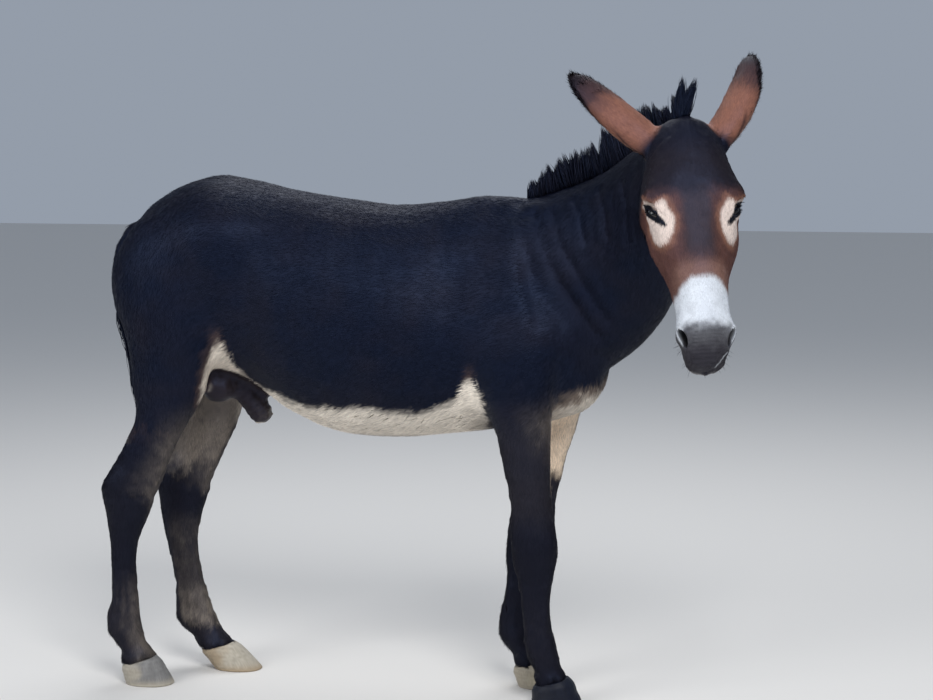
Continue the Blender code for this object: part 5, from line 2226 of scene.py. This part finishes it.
# ---- Hooves
@dataclass
class Hoof:
    """One hoof: the frame's own shape, evened, with growth rings and a worn edge."""

    node: str
    colour: Colour
    foot_colour: Colour
    rings: int = 7
    ring_depth: float = 0.0007
    inset: float = 0.006  # how far the top edge is rounded in
    bevel: float = 0.0015
    sharpness: float = 50.0  # how sharp an edge is before it is bevelled, in degrees

    def build(self, finish: Material) -> None:
        """Rounds a copy of the node, cuts its rings and colours it.

        Args:
            finish: The material.
        """
        hoof = node_copy(f"{self.node}_horn", self.node)
        sharp = math.radians(self.sharpness)
        apply(hoof, "BEVEL", width=self.bevel, segments=2, limit_method="ANGLE", angle_limit=sharp)
        apply(hoof, "SUBSURF", levels=2, render_levels=2, subdivision_type="SIMPLE")
        mesh = hoof.data
        points = smoothed(places(mesh), edge_ends(mesh), 8)
        points[:, 2] = np.maximum(points[:, 2], 0.0)
        middle = box_middle(self.node) * LEVEL
        below = height_over(points, hoof_top(self.node))
        away = unit((points - middle) * LEVEL)
        points -= away * (self.inset * ramp(-0.018, 0.0, below) ** 2)[:, None]
        set_places(mesh, points)
        facing = normals(mesh)
        low, high = points[:, 2].min(), points[:, 2].max()
        share = (points[:, 2] - low) / (high - low)
        wall = ramp(0.75, 0.35, np.abs(facing[:, 2])) * ramp(0.02, 0.1, share)
        wave = np.sin(share * self.rings * 2 * np.pi + 1.3 * lumps(points, 0.04, 31))
        chips = -0.0012 * ramp(0.2, 0.8, lumps(points, 0.012, 32)) * ramp(0.14, 0.02, share)
        points = points + facing * (wall * self.ring_depth * wave + chips * (facing[:, 2] > -0.5))[:, None]
        points[:, 2] = np.maximum(points[:, 2], 0.0)
        set_places(mesh, points)
        streak = lumps(points * np.array([1.0, 1.0, 0.12]), 0.006, 33)
        colour = np.tile(self.colour, (len(points), 1)) * (1.0 + 0.18 * streak)[:, None]
        behind = ramp(0.01, -0.03, points[:, 0] - middle[0] + 0.02 * lumps(points, 0.025, 34))
        foot = np.maximum(0.8 * behind, ramp(0.3, 0.0, share))
        colour = mixed(colour, self.foot_colour, foot) * (1.0 + 0.1 * wave)[:, None]
        colour_attribute(mesh, "markings", colour)
        mesh.shade_smooth()
        dress(hoof, finish, Part.HORN, self.node)


HOOVES = (
    Hoof("hoof_hind_right", (0.19, 0.185, 0.18), (0.4, 0.36, 0.29)),
    Hoof("hoof_hind_left", (0.42, 0.38, 0.31), (0.34, 0.26, 0.17)),
    # black horn; the blue in its colours is painted sky reflection
    Hoof("hoof_fore_right", (0.003, 0.005, 0.014), (0.01, 0.012, 0.02)),
    Hoof("hoof_fore_left", (0.42, 0.37, 0.27), (0.34, 0.3, 0.24)),
)


# ---- Stage
@dataclass(frozen=True)
class Studio:
    """The floor, the soft lights and the camera."""

    camera_place: Triple = (1.0503, -4.7375, 1.4)
    camera_target: Triple = (0.0963, 0.1706, 0.83)
    lens: float = 81.03
    sensor: float = 36.0
    lamp_target: Triple = (0.0, 0.0, 0.8)
    lamps: tuple[tuple[str, Triple, float, float], ...] = (
        ("key", (2.0, -4.2, 4.6), 2.6, 230.0),
        ("fill", (-3.6, -3.6, 3.4), 3.0, 110.0),
        ("sky", (0.0, 2.6, 4.6), 3.4, 90.0),
    )  # each one's name, place, size and power
    floor_size: float = 40.0
    floor_colour: Colour = (0.72, 0.7, 0.67)
    surround: Colour = (0.74, 0.84, 1.0)
    surround_strength: float = 0.4

    def build(self) -> None:
        """Makes them all."""
        self.floor()
        for name, place, size, power in self.lamps:
            data = bpy.data.lights.new(name, "AREA")
            data.shape, data.size, data.energy = "DISK", size, power
            self.aim(new_object(name, data), place, self.lamp_target)
        self.world()
        data = bpy.data.cameras.new("camera")
        data.sensor_width, data.lens, data.clip_end = self.sensor, self.lens, 100.0
        camera = new_object("camera", data)
        self.aim(camera, self.camera_place, self.camera_target)
        bpy.context.scene.camera = camera
        bpy.context.scene.view_settings.view_transform = "Standard"

    @staticmethod
    def aim(item: Object, place: Triple, target: Triple) -> None:
        """Puts a lamp or the camera in its place and turns it to its target."""
        item.location = place
        item.rotation_euler = (Vector(target) - Vector(place)).to_track_quat("-Z", "Y").to_euler()

    def floor(self) -> None:
        """A plain pale floor."""
        deselect()
        bpy.ops.mesh.primitive_plane_add(size=self.floor_size, location=(0.0, 0.0, 0.0))
        plane = bpy.context.active_object
        plane.name = "floor"
        made, _ = new_material("pale floor", 0.85, Base_Color=(*self.floor_colour, 1.0))
        plane.data.materials.append(made)

    def world(self) -> None:
        """A plain pale surround."""
        world = bpy.data.worlds.new("studio")
        world.use_nodes = True
        background = world.node_tree.nodes["Background"]
        light = {"Color": (*self.surround, 1.0), "Strength": self.surround_strength}
        fill(world.node_tree, background, light)
        bpy.context.scene.world = world


def main() -> None:
    """Builds and dresses every piece in order."""
    Studio().build()
    grain = fur_grain_group()
    hide = Hide(Skin().build(CoatFinish("short coat", grain).build()))
    hair = CoatFinish("coat tufts", grain, roughness=0.5, tint=0.0, bump=0.0).build()
    for coat in (ShortCoat, Fringes):
        coat(hide).build(hair)
    long_hair = CoatFinish("long hair", grain, roughness=0.45, tint=0.0, bump=0.0).build()
    for locks in (Mane, Forelock, Tail, FaceHairs):
        locks(hide).build(long_hair)
    horn, wet = HornFinish().build(), EyeFinish().build()
    for hoof in HOOVES:
        hoof.build(horn)
    for place in EYES.values():
        Eye(place).build(wet)


if __name__ == "__main__":
    main()
